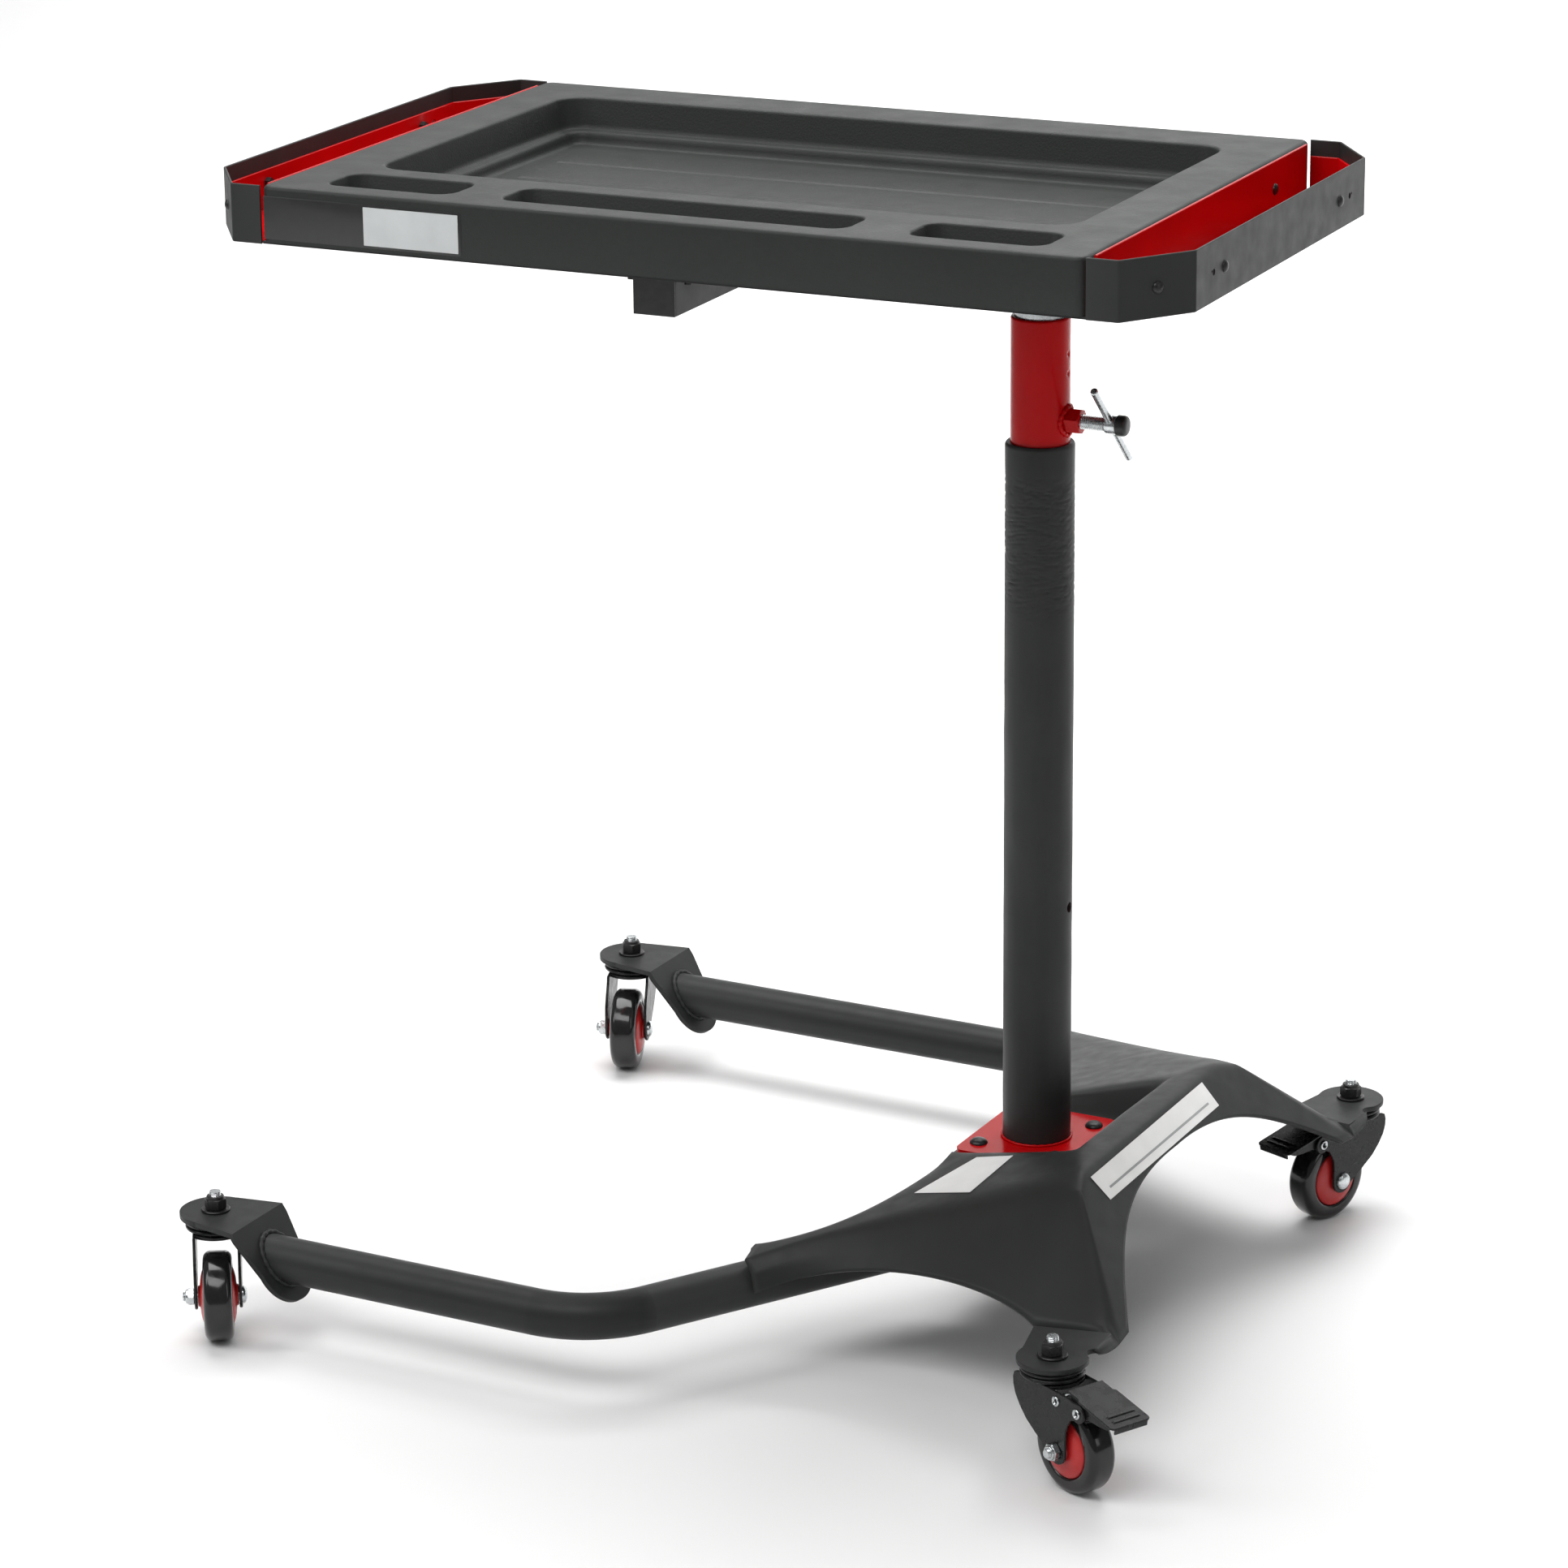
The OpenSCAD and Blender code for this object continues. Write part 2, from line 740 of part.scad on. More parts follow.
// Plan of the space inside the end rail, drawn d inside the rail's outer face
module rail_plan(d, u0) {
    u1 = rail_return - d * tan(chamfer_angle / 2);
    v2 = rail_half - d * tan((90 - chamfer_angle) / 2);
    polygon([
        [u0, d - tray_y], [u1, d - tray_y], [rail_reach - d, -v2],
        [rail_reach - d, v2], [u1, tray_y - d], [u0, tray_y - d]
    ]);
}

chamfer_mid = [(rail_return + rail_reach) / 2, (tray_y + rail_half) / 2];

// Runs its children at each rail screw, with +Z pointing out of the rail
module at_rail_screws() {
    for (s = [-1, 1]) {
        translate([rail_reach, s * rail_screw_y, rail_screw_z]) along_x() children();
        translate([chamfer_mid[0], s * chamfer_mid[1], rail_screw_z])
            rotate([0, 90, s * (90 - chamfer_angle)]) children();
    }
}

// Screw holes, and the open hole beside each screw of the long side
module rail_holes() {
    at_rail_screws() cylinder(d = 5.6, h = 20, center = true);
    for (s = [-1, 1])
        translate([rail_reach, s * rail_hole_y, rail_screw_z])
            along_x() cylinder(d = 4.5, h = 20, center = true);
}

module rail() {
    difference() {
        translate([0, 0, rail_z])
            linear_extrude(rim_z - rail_z)
                difference() {
                    rail_plan(0, rail_gap);
                    rail_plan(rail_t, -1);
                }
        rail_holes();
    }
}

module rail_left() {
    color("#1d1e1f") at_end(false) rail();
}

module rail_right() {
    color("#1d1e1f") at_end(true) rail();
}

wall_x = 0.6;
wall_h = skirt_h + 1;

module wall_bolt_holes() {
    for (s = [-1, 1])
        translate([0, s * wall_bolt_y, rail_screw_z])
            along_x() cylinder(d = 5.6, h = 30, center = true);
}

module end_pan() {
    difference() {
        union() {
            translate([wall_x, 4 - tray_y, pan_z]) cube([sheet, 2 * tray_y - 8, wall_h]);
            translate([0, 0, pan_z])
                linear_extrude(sheet) rail_plan(rail_t + fit, wall_x);
            translate([0, 0, pan_z])
                linear_extrude(sheet + lip_h)
                    difference() {
                        rail_plan(rail_t + fit, wall_x);
                        rail_plan(rail_t + fit + sheet, -1);
                    }
        }
        rail_holes();
        wall_bolt_holes();
    }
}

module end_pan_left() {
    color("#a01016") at_end(false) end_pan();
}

module end_pan_right() {
    color("#a01016") at_end(true) end_pan();
}

module rail_screws() {
    color("#151515")
        for (right = [true, false])
            at_end(right)
                at_rail_screws() {
                    button_head(9.5, 2.8);
                    translate([0, 0, -12]) cylinder(d = 5, h = 12);
                    translate([0, 0, -8.5]) hexagon(8, 8.5 - rail_t - fit - sheet - fit);
                }
}

module end_wall_bolts() {
    color("#151515")
        for (right = [true, false])
            at_end(right)
                for (s = [-1, 1])
                    translate([0, s * wall_bolt_y, rail_screw_z]) {
                        translate([wall_x + sheet, 0, 0]) along_x() button_head(9.5, 2.8);
                        translate([-11, 0, 0]) along_x() cylinder(d = 5, h = 11 + wall_x + sheet);
                        translate([-8.5, 0, 0]) along_x() hexagon(8, 8.5 - tray_wall - fit);
                    }
}

module tray() {
    outline = [tray_x0, -tray_y, tray_x1, tray_y];
    color("#2a2b2a")
        difference() {
            translate([0, 0, skirt_z]) linear_extrude(skirt_h) rounded(outline, tray_corner);
            difference() {
                translate([0, 0, skirt_z - 1])
                    linear_extrude(skirt_h + 1 - tray_wall)
                        rounded(grown(outline, -tray_wall), tray_corner - tray_wall);
                translate([0, 0, rim_z - basin_depth - tray_wall])
                    linear_extrude(skirt_h)
                        rounded(grown(basin, tray_wall), basin_r + tray_wall);
                for (p = pockets)
                    translate([0, 0, rim_z - pocket_depth - tray_wall])
                        linear_extrude(skirt_h) rounded(grown(p, tray_wall), pocket_r + tray_wall);
            }
            translate([0, 0, rim_z - basin_depth])
                linear_extrude(skirt_h) rounded(basin, basin_r);
            for (p = pockets)
                translate([0, 0, rim_z - pocket_depth])
                    linear_extrude(skirt_h) rounded(p, pocket_r);
            at_end(true) wall_bolt_holes();
            at_end(false) wall_bolt_holes();
        }
}

// ---------------------------------------------------------------- casters

race_d = 52;
kingpin_d = 12;
fork_in = 17.2;
fork_t = 2.5;
fork_out = fork_in + fork_t;
axle_d = 8;
boss_r = 11;
hub_r = 24.4;
hub_half = 16.7;
pin_d = 6;
pin_a = [30, 79.6];
pin_b = [55.5, 78];
pedal_half = 16.9;
pedal_wide = 19;
pedal_tilt = 10.5;
pedal_start = [40, 89.5];
pedal_l = 59;
pedal_step = 15;
flange_in = 0.2;

// Caster frame: +X is the trailing direction, Z is up and the stem axis is at 0, 0
module at_caster(c) {
    rotate(base_turn) translate([c[0], c[1], 0]) rotate(c[2]) children();
}

// Turns an outline drawn as [distance behind the stem, height] into a plate across Y
module side_plate(y0, t) {
    translate([0, y0 + t, 0]) rotate([90, 0, 0]) linear_extrude(t) children();
}

module across(p, d, l) {
    translate([p[0], 0, p[1]]) rotate([90, 0, 0]) cylinder(d = d, h = l, center = true);
}

module caster_stem(c) {
    color("#c9ccd0")
        at_caster(c) {
            translate([0, 0, race_z])
                rotate_extrude()
                    polygon([[0, 0], [race_d / 2 - 1.5, 0], [race_d / 2, 1.5],
                        [race_d / 2, 3.6], [race_d / 2 - 1.2, ear_z - race_z],
                        [0, ear_z - race_z]]);
            translate([0, 0, crown_z - 4.5]) cylinder(d = kingpin_d, h = ear_z - crown_z + 4.5);
            translate([0, 0, crown_z - 4.5]) cylinder(d = 19, h = 4.2);
            translate([0, 0, ear_z]) cylinder(d = stem_d, h = stem_top - ear_z);
        }
}

module fork_outline(braked) {
    polygon(concat(
        [[-25, crown_z + crown_t], [-25, 78], [-20, 66], [-8, 52],
            [trail - boss_r * 0.8, wheel_r - boss_r * 0.6]],
        [[trail + boss_r, wheel_r], [trail + boss_r, 58]],
        braked
            ? [[45, 70], [pin_b[0] - 2, pin_b[1] - 7.5], [pin_b[0], pin_b[1] + 8],
                [44, crown_z + crown_t]]
            : [[33, 72], [26, crown_z + crown_t]]
    ));
    translate([trail, wheel_r]) circle(boss_r);
    if (braked) translate(pin_b) circle(8);
}

module fork(c, braked) {
    color("#161616")
        at_caster(c)
            difference() {
                union() {
                    translate([0, 0, crown_z])
                        linear_extrude(crown_t)
                            intersection() {
                                circle(d = race_d);
                                square([race_d, 2 * fork_out], center = true);
                            }
                    translate([0, 0, crown_z + crown_t])
                        rotate_extrude()
                            polygon([[0, 0], [23.5, 0], [23.5, 0.8], [25.6, 1.6],
                                [25.6, 3.6], [24.4, 4.7], [0, 4.7]]);
                    side_plate(fork_in, fork_t) fork_outline(braked);
                    side_plate(-fork_out, fork_t) fork_outline(braked);
                }
                translate([0, 0, crown_z - 1]) cylinder(d = kingpin_d + 2 * fit, h = 12);
                across([trail, wheel_r], axle_d + 2 * fit, 60);
                if (braked) {
                    across(pin_a, pin_d + 2 * fit, 60);
                    across(pin_b, pin_d + 2 * fit, 60);
                }
            }
}

module axle(c) {
    color("#c9ccd0")
        at_caster(c)
            translate([trail, 0, wheel_r])
                rotate([-90, 0, 0]) {
                    translate([0, 0, -30]) cylinder(d = axle_d, h = 30 + fork_out);
                    translate([0, 0, fork_out]) button_head(15, 4);
                    translate([0, 0, -fork_out - 6.5]) hexagon(13, 6.5);
                }
}

tyre_round = 6;

module tyre(c) {
    color("#121212")
        at_caster(c)
            translate([trail, 0, wheel_r])
                rotate([90, 0, 0])
                    rotate_extrude()
                        polygon(concat(
                            [[hub_r + fit, tread_w / 2 - 1.5], [hub_r + fit, 1.5 - tread_w / 2]],
                            [[hub_r + 2, -tread_w / 2]],
                            [for (a = [-90:15:0]) [
                                wheel_r - tyre_round + tyre_round * cos(a),
                                tyre_round - tread_w / 2 + tyre_round * sin(a)
                            ]],
                            [for (a = [0:15:90]) [
                                wheel_r - tyre_round + tyre_round * cos(a),
                                tread_w / 2 - tyre_round + tyre_round * sin(a)
                            ]],
                            [[hub_r + 2, tread_w / 2]]
                        ));
}

hub_bore = axle_d / 2 + 0.08;

module hub(c) {
    color("#c01822")
        at_caster(c)
            translate([trail, 0, wheel_r])
                rotate([90, 0, 0])
                    rotate_extrude()
                        polygon([
                            [hub_bore, -hub_half], [8, -hub_half], [8.6, 1 - hub_half],
                            [14, 2 - hub_half], [20, 3.4 - hub_half], [hub_r, 5.4 - hub_half],
                            [hub_r, hub_half - 5.4], [20, hub_half - 3.4],
                            [14, hub_half - 2], [8.6, hub_half - 1], [8, hub_half],
                            [hub_bore, hub_half]
                        ]);
}

module brake_pins(c) {
    color("#c9ccd0")
        at_caster(c)
            for (p = [pin_a, pin_b]) {
                across(p, pin_d, 2 * fork_out);
                for (s = [-1, 1])
                    translate([p[0], s * fork_out, p[1]])
                        rotate([-90 * s, 0, 0]) button_head(8, 1.6);
            }
}

// Point u along the underside of the tread plate and w above it
function on_pedal(u, w) = pedal_start
    + [u * cos(pedal_tilt) + w * sin(pedal_tilt), w * cos(pedal_tilt) - u * sin(pedal_tilt)];

module pedal(c) {
    color("#161616")
        at_caster(c)
            difference() {
                union() {
                    translate([pedal_start[0], 0, pedal_start[1]])
                        rotate([0, pedal_tilt, 0]) {
                            translate([0, -pedal_half, 0])
                                cube([pedal_l, 2 * pedal_half, sheet]);
                            translate([pedal_step, -pedal_wide, 0])
                                cube([pedal_l - pedal_step, 2 * pedal_wide, sheet]);
                            translate([pedal_l - sheet, -pedal_wide, -4])
                                cube([sheet, 2 * pedal_wide, 5]);
                            for (x = [pedal_l - 16, pedal_l - 9])
                                translate([x, -13, sheet - 0.5]) cube([2.4, 26, 1.6]);
                        }
                    for (y = [flange_in - pedal_half, pedal_half - flange_in - sheet])
                        side_plate(y, sheet) {
                            polygon([on_pedal(2, 1), on_pedal(55, 1), on_pedal(50, -5),
                                on_pedal(28, -9), pin_b - [0, 5], on_pedal(7, -7)]);
                            translate(pin_b) circle(7.2);
                        }
                }
                across(pin_b, pin_d + 2 * fit, 60);
            }
}

module shoe(c) {
    color("#c9ccd0")
        at_caster(c)
            difference() {
                union() {
                    across(pin_a, 7.8, 27);
                    side_plate(-13.5, 27)
                        polygon([[29, 83.2], [38, 82], [50.5, 77.5], [51, 73.4],
                            [48, 72.2], [40, 75.6], [30, 76]]);
                }
                across(pin_a, pin_d + 2 * fit, 60);
            }
}

module caster_fl_stem() { caster_stem(front_left); }
module caster_rl_stem() { caster_stem(rear_left); }
module caster_fr_stem() { caster_stem(front_right); }
module caster_rr_stem() { caster_stem(rear_right); }
module caster_fl_fork() { fork(front_left, false); }
module caster_rl_fork() { fork(rear_left, false); }
module caster_fr_fork() { fork(front_right, true); }
module caster_rr_fork() { fork(rear_right, true); }
module caster_fl_axle() { axle(front_left); }
module caster_rl_axle() { axle(rear_left); }
module caster_fr_axle() { axle(front_right); }
module caster_rr_axle() { axle(rear_right); }
module caster_fl_tyre() { tyre(front_left); }
module caster_rl_tyre() { tyre(rear_left); }
module caster_fr_tyre() { tyre(front_right); }
module caster_rr_tyre() { tyre(rear_right); }
module caster_fl_hub() { hub(front_left); }
module caster_rl_hub() { hub(rear_left); }
module caster_fr_hub() { hub(front_right); }
module caster_rr_hub() { hub(rear_right); }
module caster_fr_pins() { brake_pins(front_right); }
module caster_rr_pins() { brake_pins(rear_right); }
module caster_fr_pedal() { pedal(front_right); }
module caster_rr_pedal() { pedal(rear_right); }
module caster_fr_shoe() { shoe(front_right); }
module caster_rr_shoe() { shoe(rear_right); }

base_cover();
center_frame();
leg_tube_front();
leg_tube_rear();
leg_bracket_front();
leg_bracket_rear();
mast_plate();
mast_post();
mast_sleeve();
clamp_nut();
plate_bolts();
stem_nuts();
caster_fl_stem();
caster_rl_stem();
caster_fr_stem();
caster_rr_stem();
clamp_pad();
clamp_screw();
clamp_cap();
tommy_bar();
column_guide();
column_tube();
column_head_plate();
support_beam();
cross_tube();
tube_caps();
mounting_plates();
support_bolts();
table_pan();
end_pan_left();
end_pan_right();
tray();
rail_left();
rail_right();
rail_screws();
end_wall_bolts();
caster_fl_fork();
caster_fl_axle();
caster_fl_tyre();
caster_fl_hub();
caster_rl_fork();
caster_rl_axle();
caster_rl_tyre();
caster_rl_hub();
caster_fr_fork();
caster_fr_axle();
caster_fr_tyre();
caster_fr_hub();
caster_rr_fork();
caster_rr_axle();
caster_rr_tyre();
caster_rr_hub();
caster_fr_pins();
caster_fr_pedal();
caster_fr_shoe();
caster_rr_pins();
caster_rr_pedal();
caster_rr_shoe();
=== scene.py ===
# Rolling tear-down work table: the visual model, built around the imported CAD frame.
import json
import math

import bmesh
import bpy
from mathutils import Matrix, Vector, noise


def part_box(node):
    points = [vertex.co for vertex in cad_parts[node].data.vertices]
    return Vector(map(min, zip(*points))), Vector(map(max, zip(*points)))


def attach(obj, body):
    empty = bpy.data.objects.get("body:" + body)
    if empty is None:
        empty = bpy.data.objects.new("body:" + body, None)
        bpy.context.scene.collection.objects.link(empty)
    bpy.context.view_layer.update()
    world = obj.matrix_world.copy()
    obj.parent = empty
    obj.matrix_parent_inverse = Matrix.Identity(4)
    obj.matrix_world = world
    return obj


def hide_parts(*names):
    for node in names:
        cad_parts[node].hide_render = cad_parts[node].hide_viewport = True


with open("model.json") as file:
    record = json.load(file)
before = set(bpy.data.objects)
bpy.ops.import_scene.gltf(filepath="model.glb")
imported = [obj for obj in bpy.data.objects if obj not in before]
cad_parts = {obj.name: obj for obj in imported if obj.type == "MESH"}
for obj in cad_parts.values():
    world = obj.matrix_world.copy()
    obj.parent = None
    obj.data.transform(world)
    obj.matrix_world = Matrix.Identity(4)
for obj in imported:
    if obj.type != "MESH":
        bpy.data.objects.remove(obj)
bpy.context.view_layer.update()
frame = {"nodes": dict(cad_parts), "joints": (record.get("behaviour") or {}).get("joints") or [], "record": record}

MM = 0.001
record = frame["record"]
SLOT_OF = {s["node"]: s["material_slot"] for s in record["subparts"]}
BODY_OF = {n: body for body, nodes in record["behaviour"]["bodies"].items() for n in nodes}
JOINT = {j["name"]: j for j in frame["joints"]}
scene = bpy.context.scene


def node_box(node):
    """A CAD node's lowest and highest corners, in millimetres."""
    low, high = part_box(node)
    return [v / MM for v in low], [v / MM for v in high]


# ---------------------------------------------------------------- materials


class Look:
    """A principled material with its nodes laid out by a few short calls."""

    def __init__(self, name, color, roughness, metallic=0.0, coat=0.0, coat_roughness=0.1,
                 specular=0.5):
        self.mat = bpy.data.materials.new(name)
        self.mat.use_nodes = True
        self.tree = self.mat.node_tree
        self.shader = self.tree.nodes["Principled BSDF"]
        self.place = self.tree.nodes.new("ShaderNodeTexCoord").outputs["Object"]
        self.color = color
        inputs = self.shader.inputs
        inputs["Base Color"].default_value = (*color, 1)
        inputs["Roughness"].default_value = roughness
        inputs["Metallic"].default_value = metallic
        inputs["Coat Weight"].default_value = coat
        inputs["Coat Roughness"].default_value = coat_roughness
        inputs["Specular IOR Level"].default_value = specular

    def node(self, kind, **settings):
        made = self.tree.nodes.new(kind)
        for key, value in settings.items():
            setattr(made, key, value)
        return made

    def link(self, source, target):
        self.tree.links.new(source, target)

    def noise(self, scale, detail=3.0, stretch=None):
        """Noise whose features are about 1/scale metres across, or stretched along an axis."""
        texture = self.node("ShaderNodeTexNoise")
        texture.inputs["Scale"].default_value = scale
        texture.inputs["Detail"].default_value = detail
        place = self.place
        if stretch:
            mapping = self.node("ShaderNodeMapping")
            mapping.inputs["Scale"].default_value = stretch
            self.link(place, mapping.inputs["Vector"])
            place = mapping.outputs["Vector"]
        self.link(place, texture.inputs["Vector"])
        return texture.outputs["Fac"]

    def cells(self, scale):
        texture = self.node("ShaderNodeTexVoronoi", feature="SMOOTH_F1")
        texture.inputs["Scale"].default_value = scale
        self.link(self.place, texture.inputs["Vector"])
        return texture.outputs["Distance"]

    def spread(self, source, low, high, from_low=0.3, from_high=0.7):
        """Maps a texture's usual span to low .. high."""
        ramp = self.node("ShaderNodeMapRange")
        ramp.inputs["From Min"].default_value = from_low
        ramp.inputs["From Max"].default_value = from_high
        ramp.inputs["To Min"].default_value = low
        ramp.inputs["To Max"].default_value = high
        self.link(source, ramp.inputs["Value"])
        return ramp.outputs["Result"]

    def tint(self, source, other):
        """Mixes the base colour towards another colour by a texture."""
        mix = self.node("ShaderNodeMix", data_type="RGBA")
        mix.inputs["A"].default_value = (*self.color, 1)
        mix.inputs["B"].default_value = (*other, 1)
        self.link(self.spread(source, 0.0, 1.0), mix.inputs["Factor"])
        self.link(mix.outputs["Result"], self.shader.inputs["Base Color"])
        return mix

    def tint_again(self, mix, factor, other):
        """Lays another colour over an earlier tint."""
        over = self.node("ShaderNodeMix", data_type="RGBA")
        self.link(mix.outputs["Result"], over.inputs["A"])
        over.inputs["B"].default_value = (*other, 1)
        self.link(factor, over.inputs["Factor"])
        self.link(over.outputs["Result"], self.shader.inputs["Base Color"])

    def roughen(self, source, low, high):
        self.link(self.spread(source, low, high), self.shader.inputs["Roughness"])

    def bump(self, height, distance, strength, under=None):
        made = self.node("ShaderNodeBump")
        made.inputs["Strength"].default_value = strength
        made.inputs["Distance"].default_value = distance
        self.link(height, made.inputs["Height"])
        if under:
            self.link(under, made.inputs["Normal"])
        self.link(made.outputs["Normal"], self.shader.inputs["Normal"])
        return made.outputs["Normal"]

    def painted_edge_highlight(self, mix, other):
        """Paints a highlight along convex edges: a lighter colour where pointiness is high, standing in for edge
        sheen, not for wear.
        """
        point = self.node("ShaderNodeNewGeometry").outputs["Pointiness"]
        self.tint_again(mix, self.spread(point, 0.0, 0.5, 0.53, 0.62), other)


def powder_coat():
    look = Look("satin_powder_coat", (0.0150, 0.0160, 0.0158), 0.46, specular=0.22)
    mix = look.tint(look.noise(9.0), (0.0195, 0.0208, 0.0202))
    # painted highlight: a lighter grey along convex edges, by pointiness
    look.painted_edge_highlight(mix, (0.045, 0.047, 0.046))
    look.roughen(look.noise(60.0, 4.0), 0.42, 0.52)
    fine = look.bump(look.noise(1500.0, 2.0), 0.00006, 0.5)
    look.bump(look.noise(260.0, 2.0), 0.00010, 0.35, fine)
    return look.mat


def red_paint():
    look = Look("gloss_red_paint", (0.50, 0.002, 0.004), 0.20, coat=0.1, coat_roughness=0.05,
                specular=0.09)
    look.tint(look.noise(14.0), (0.42, 0.002, 0.003))
    look.roughen(look.noise(60.0, 3.0), 0.16, 0.26)
    look.bump(look.noise(160.0, 1.0), 0.00004, 0.2)
    return look.mat


def sleeve_rubber():
    look = Look("soft_sleeve", (0.0165, 0.0175, 0.0173), 0.55, specular=0.3)
    look.tint(look.noise(12.0), (0.0215, 0.0228, 0.0225))
    look.roughen(look.noise(45.0, 4.0, (1, 1, 0.15)), 0.42, 0.60)
    fine = look.bump(look.noise(900.0, 3.0), 0.00005, 0.5)
    look.bump(look.noise(70.0, 4.0, (1, 1, 5)), 0.00030, 0.35, fine)
    return look.mat


def black_fasteners():
    look = Look("black_oxide", (0.013, 0.013, 0.0135), 0.34, metallic=0.35)
    look.tint(look.noise(300.0), (0.022, 0.021, 0.021))
    look.roughen(look.noise(700.0), 0.26, 0.44)
    look.bump(look.noise(1800.0, 2.0), 0.00003, 0.4)
    return look.mat


def zinc():
    look = Look("bright_zinc", (0.66, 0.68, 0.70), 0.24, metallic=1.0)
    look.tint(look.noise(160.0, 4.0), (0.50, 0.53, 0.53))
    look.roughen(look.noise(500.0, 4.0), 0.16, 0.34)
    look.bump(look.noise(1600.0, 3.0), 0.00003, 0.35)
    return look.mat


def brass():
    look = Look("turned_brass", (0.70, 0.50, 0.22), 0.28, metallic=1.0)
    look.tint(look.noise(300.0), (0.55, 0.38, 0.15))
    look.roughen(look.noise(600.0), 0.20, 0.36)
    return look.mat


def guide_plastic():
    look = Look("moulded_nylon", (0.72, 0.70, 0.64), 0.45)
    look.tint(look.noise(90.0), (0.66, 0.64, 0.58))
    look.roughen(look.noise(400.0), 0.38, 0.52)
    return look.mat


def cap_plastic():
    look = Look("moulded_cap", (0.011, 0.011, 0.011), 0.36)
    look.tint(look.noise(120.0), (0.018, 0.018, 0.018))
    look.roughen(look.noise(500.0), 0.30, 0.44)
    look.bump(look.noise(1400.0), 0.00004, 0.4)
    return look.mat


def tray_plastic():
    look = Look("grained_tray", (0.0205, 0.0225, 0.0212), 0.50, specular=0.20)
    mix = look.tint(look.noise(6.0), (0.024, 0.0265, 0.025))
    # painted highlight: a lighter grey along the tray's convex edges and rims, by pointiness
    look.painted_edge_highlight(mix, (0.042, 0.046, 0.044))
    look.roughen(look.noise(35.0, 4.0), 0.45, 0.55)
    grain = look.bump(look.cells(620.0), 0.00022, 0.55)
    look.bump(look.noise(1500.0, 2.0), 0.00005, 0.4, grain)
    return look.mat


def caster_black():
    look = Look("caster_black", (0.0095, 0.0098, 0.0100), 0.28, specular=0.24)
    look.tint(look.noise(60.0), (0.015, 0.0155, 0.0155))
    look.roughen(look.noise(120.0, 2.0), 0.22, 0.34)
    look.bump(look.noise(500.0, 1.0), 0.00002, 0.2)
    return look.mat


def wheel_tread():
    look = Look("polished_tread", (0.0075, 0.0075, 0.0078), 0.12, coat=0.15, coat_roughness=0.05,
                specular=0.4)
    look.tint(look.noise(80.0), (0.012, 0.012, 0.012))
    look.roughen(look.noise(150.0, 4.0), 0.09, 0.22)
    return look.mat


def hub_red():
    look = Look("moulded_red_hub", (0.50, 0.014, 0.014), 0.34)
    look.tint(look.noise(70.0), (0.42, 0.010, 0.011))
    look.roughen(look.noise(300.0), 0.28, 0.42)
    look.bump(look.noise(800.0, 2.0), 0.00005, 0.4)
    return look.mat


def vinyl(name, color, other):
    look = Look(name, color, 0.38)
    look.tint(look.noise(40.0), other)
    look.roughen(look.noise(200.0), 0.32, 0.44)
    return look.mat


FINISH = {
    "black_powder_coat": powder_coat(),
    "red_paint": red_paint(),
    "sleeve_rubber": sleeve_rubber(),
    "black_fasteners": black_fasteners(),
    "zinc": zinc(),
    "brass": brass(),
    "guide_plastic": guide_plastic(),
    "cap_plastic": cap_plastic(),
    "tray_plastic": tray_plastic(),
    "caster_black": caster_black(),
    "wheel_tread": wheel_tread(),
    "hub_red": hub_red(),
}
WHITE_VINYL = vinyl("white_vinyl", (0.78, 0.78, 0.77), (0.72, 0.72, 0.71))
GREY_VINYL = vinyl("grey_vinyl", (0.30, 0.31, 0.31), (0.26, 0.27, 0.27))
SILVER_VINYL = vinyl("silver_vinyl", (0.56, 0.58, 0.58), (0.50, 0.52, 0.52))
BLACK_VINYL = vinyl("black_vinyl", (0.010, 0.010, 0.0105), (0.014, 0.014, 0.014))

for node_name, node_object in frame["nodes"].items():
    node_object.data.materials.clear()
    node_object.data.materials.append(FINISH[SLOT_OF[node_name]])


# ---------------------------------------------------------------- mesh helpers


def rings(bm, loops, closed=True, cap_start=False, cap_end=False, tube=False):
    """Quads between loops of points. closed joins each loop's end to its start, and tube the
    last loop to the first."""
    made = [[bm.verts.new(p) for p in loop] for loop in loops]
    count = len(made[0])
    pairs = list(zip(made, made[1:] + made[:1])) if tube else list(zip(made, made[1:]))
    for a, b in pairs:
        for i in range(count if closed else count - 1):
            j = (i + 1) % count
            bm.faces.new((a[i], a[j], b[j], b[i]))
    if cap_start:
        bm.faces.new(made[0][::-1])
    if cap_end:
        bm.faces.new(made[-1])
    return made


def circle(radius, height, count=48, phase=0.0):
    return [
        (radius * math.cos(phase + math.tau * i / count),
         radius * math.sin(phase + math.tau * i / count), height)
        for i in range(count)
    ]


def lathe(bm, profile, count=64):
    """Turns a closed profile of (radius, height) about Z. One that starts and ends on the axis
    is capped."""
    on_axis = profile[0][0] == 0
    inner = profile[1:-1] if on_axis else profile
    made = rings(bm, [circle(r, h, count) for r, h in inner], tube=not on_axis)
    if on_axis:
        for ring, end, step in ((made[0], profile[0], -1), (made[-1], profile[-1], 1)):
            tip = bm.verts.new((0, 0, end[1]))
            for i in range(count):
                pair = (ring[i], ring[(i + 1) % count])
                bm.faces.new((*pair[::step], tip))
    return made


def arc(cx, cy, radius, start, end, steps=6):
    """Points along an arc, with angles in degrees."""
    return [
        (cx + radius * math.cos(math.radians(start + (end - start) * i / steps)),
         cy + radius * math.sin(math.radians(start + (end - start) * i / steps)))
        for i in range(steps + 1)
    ]


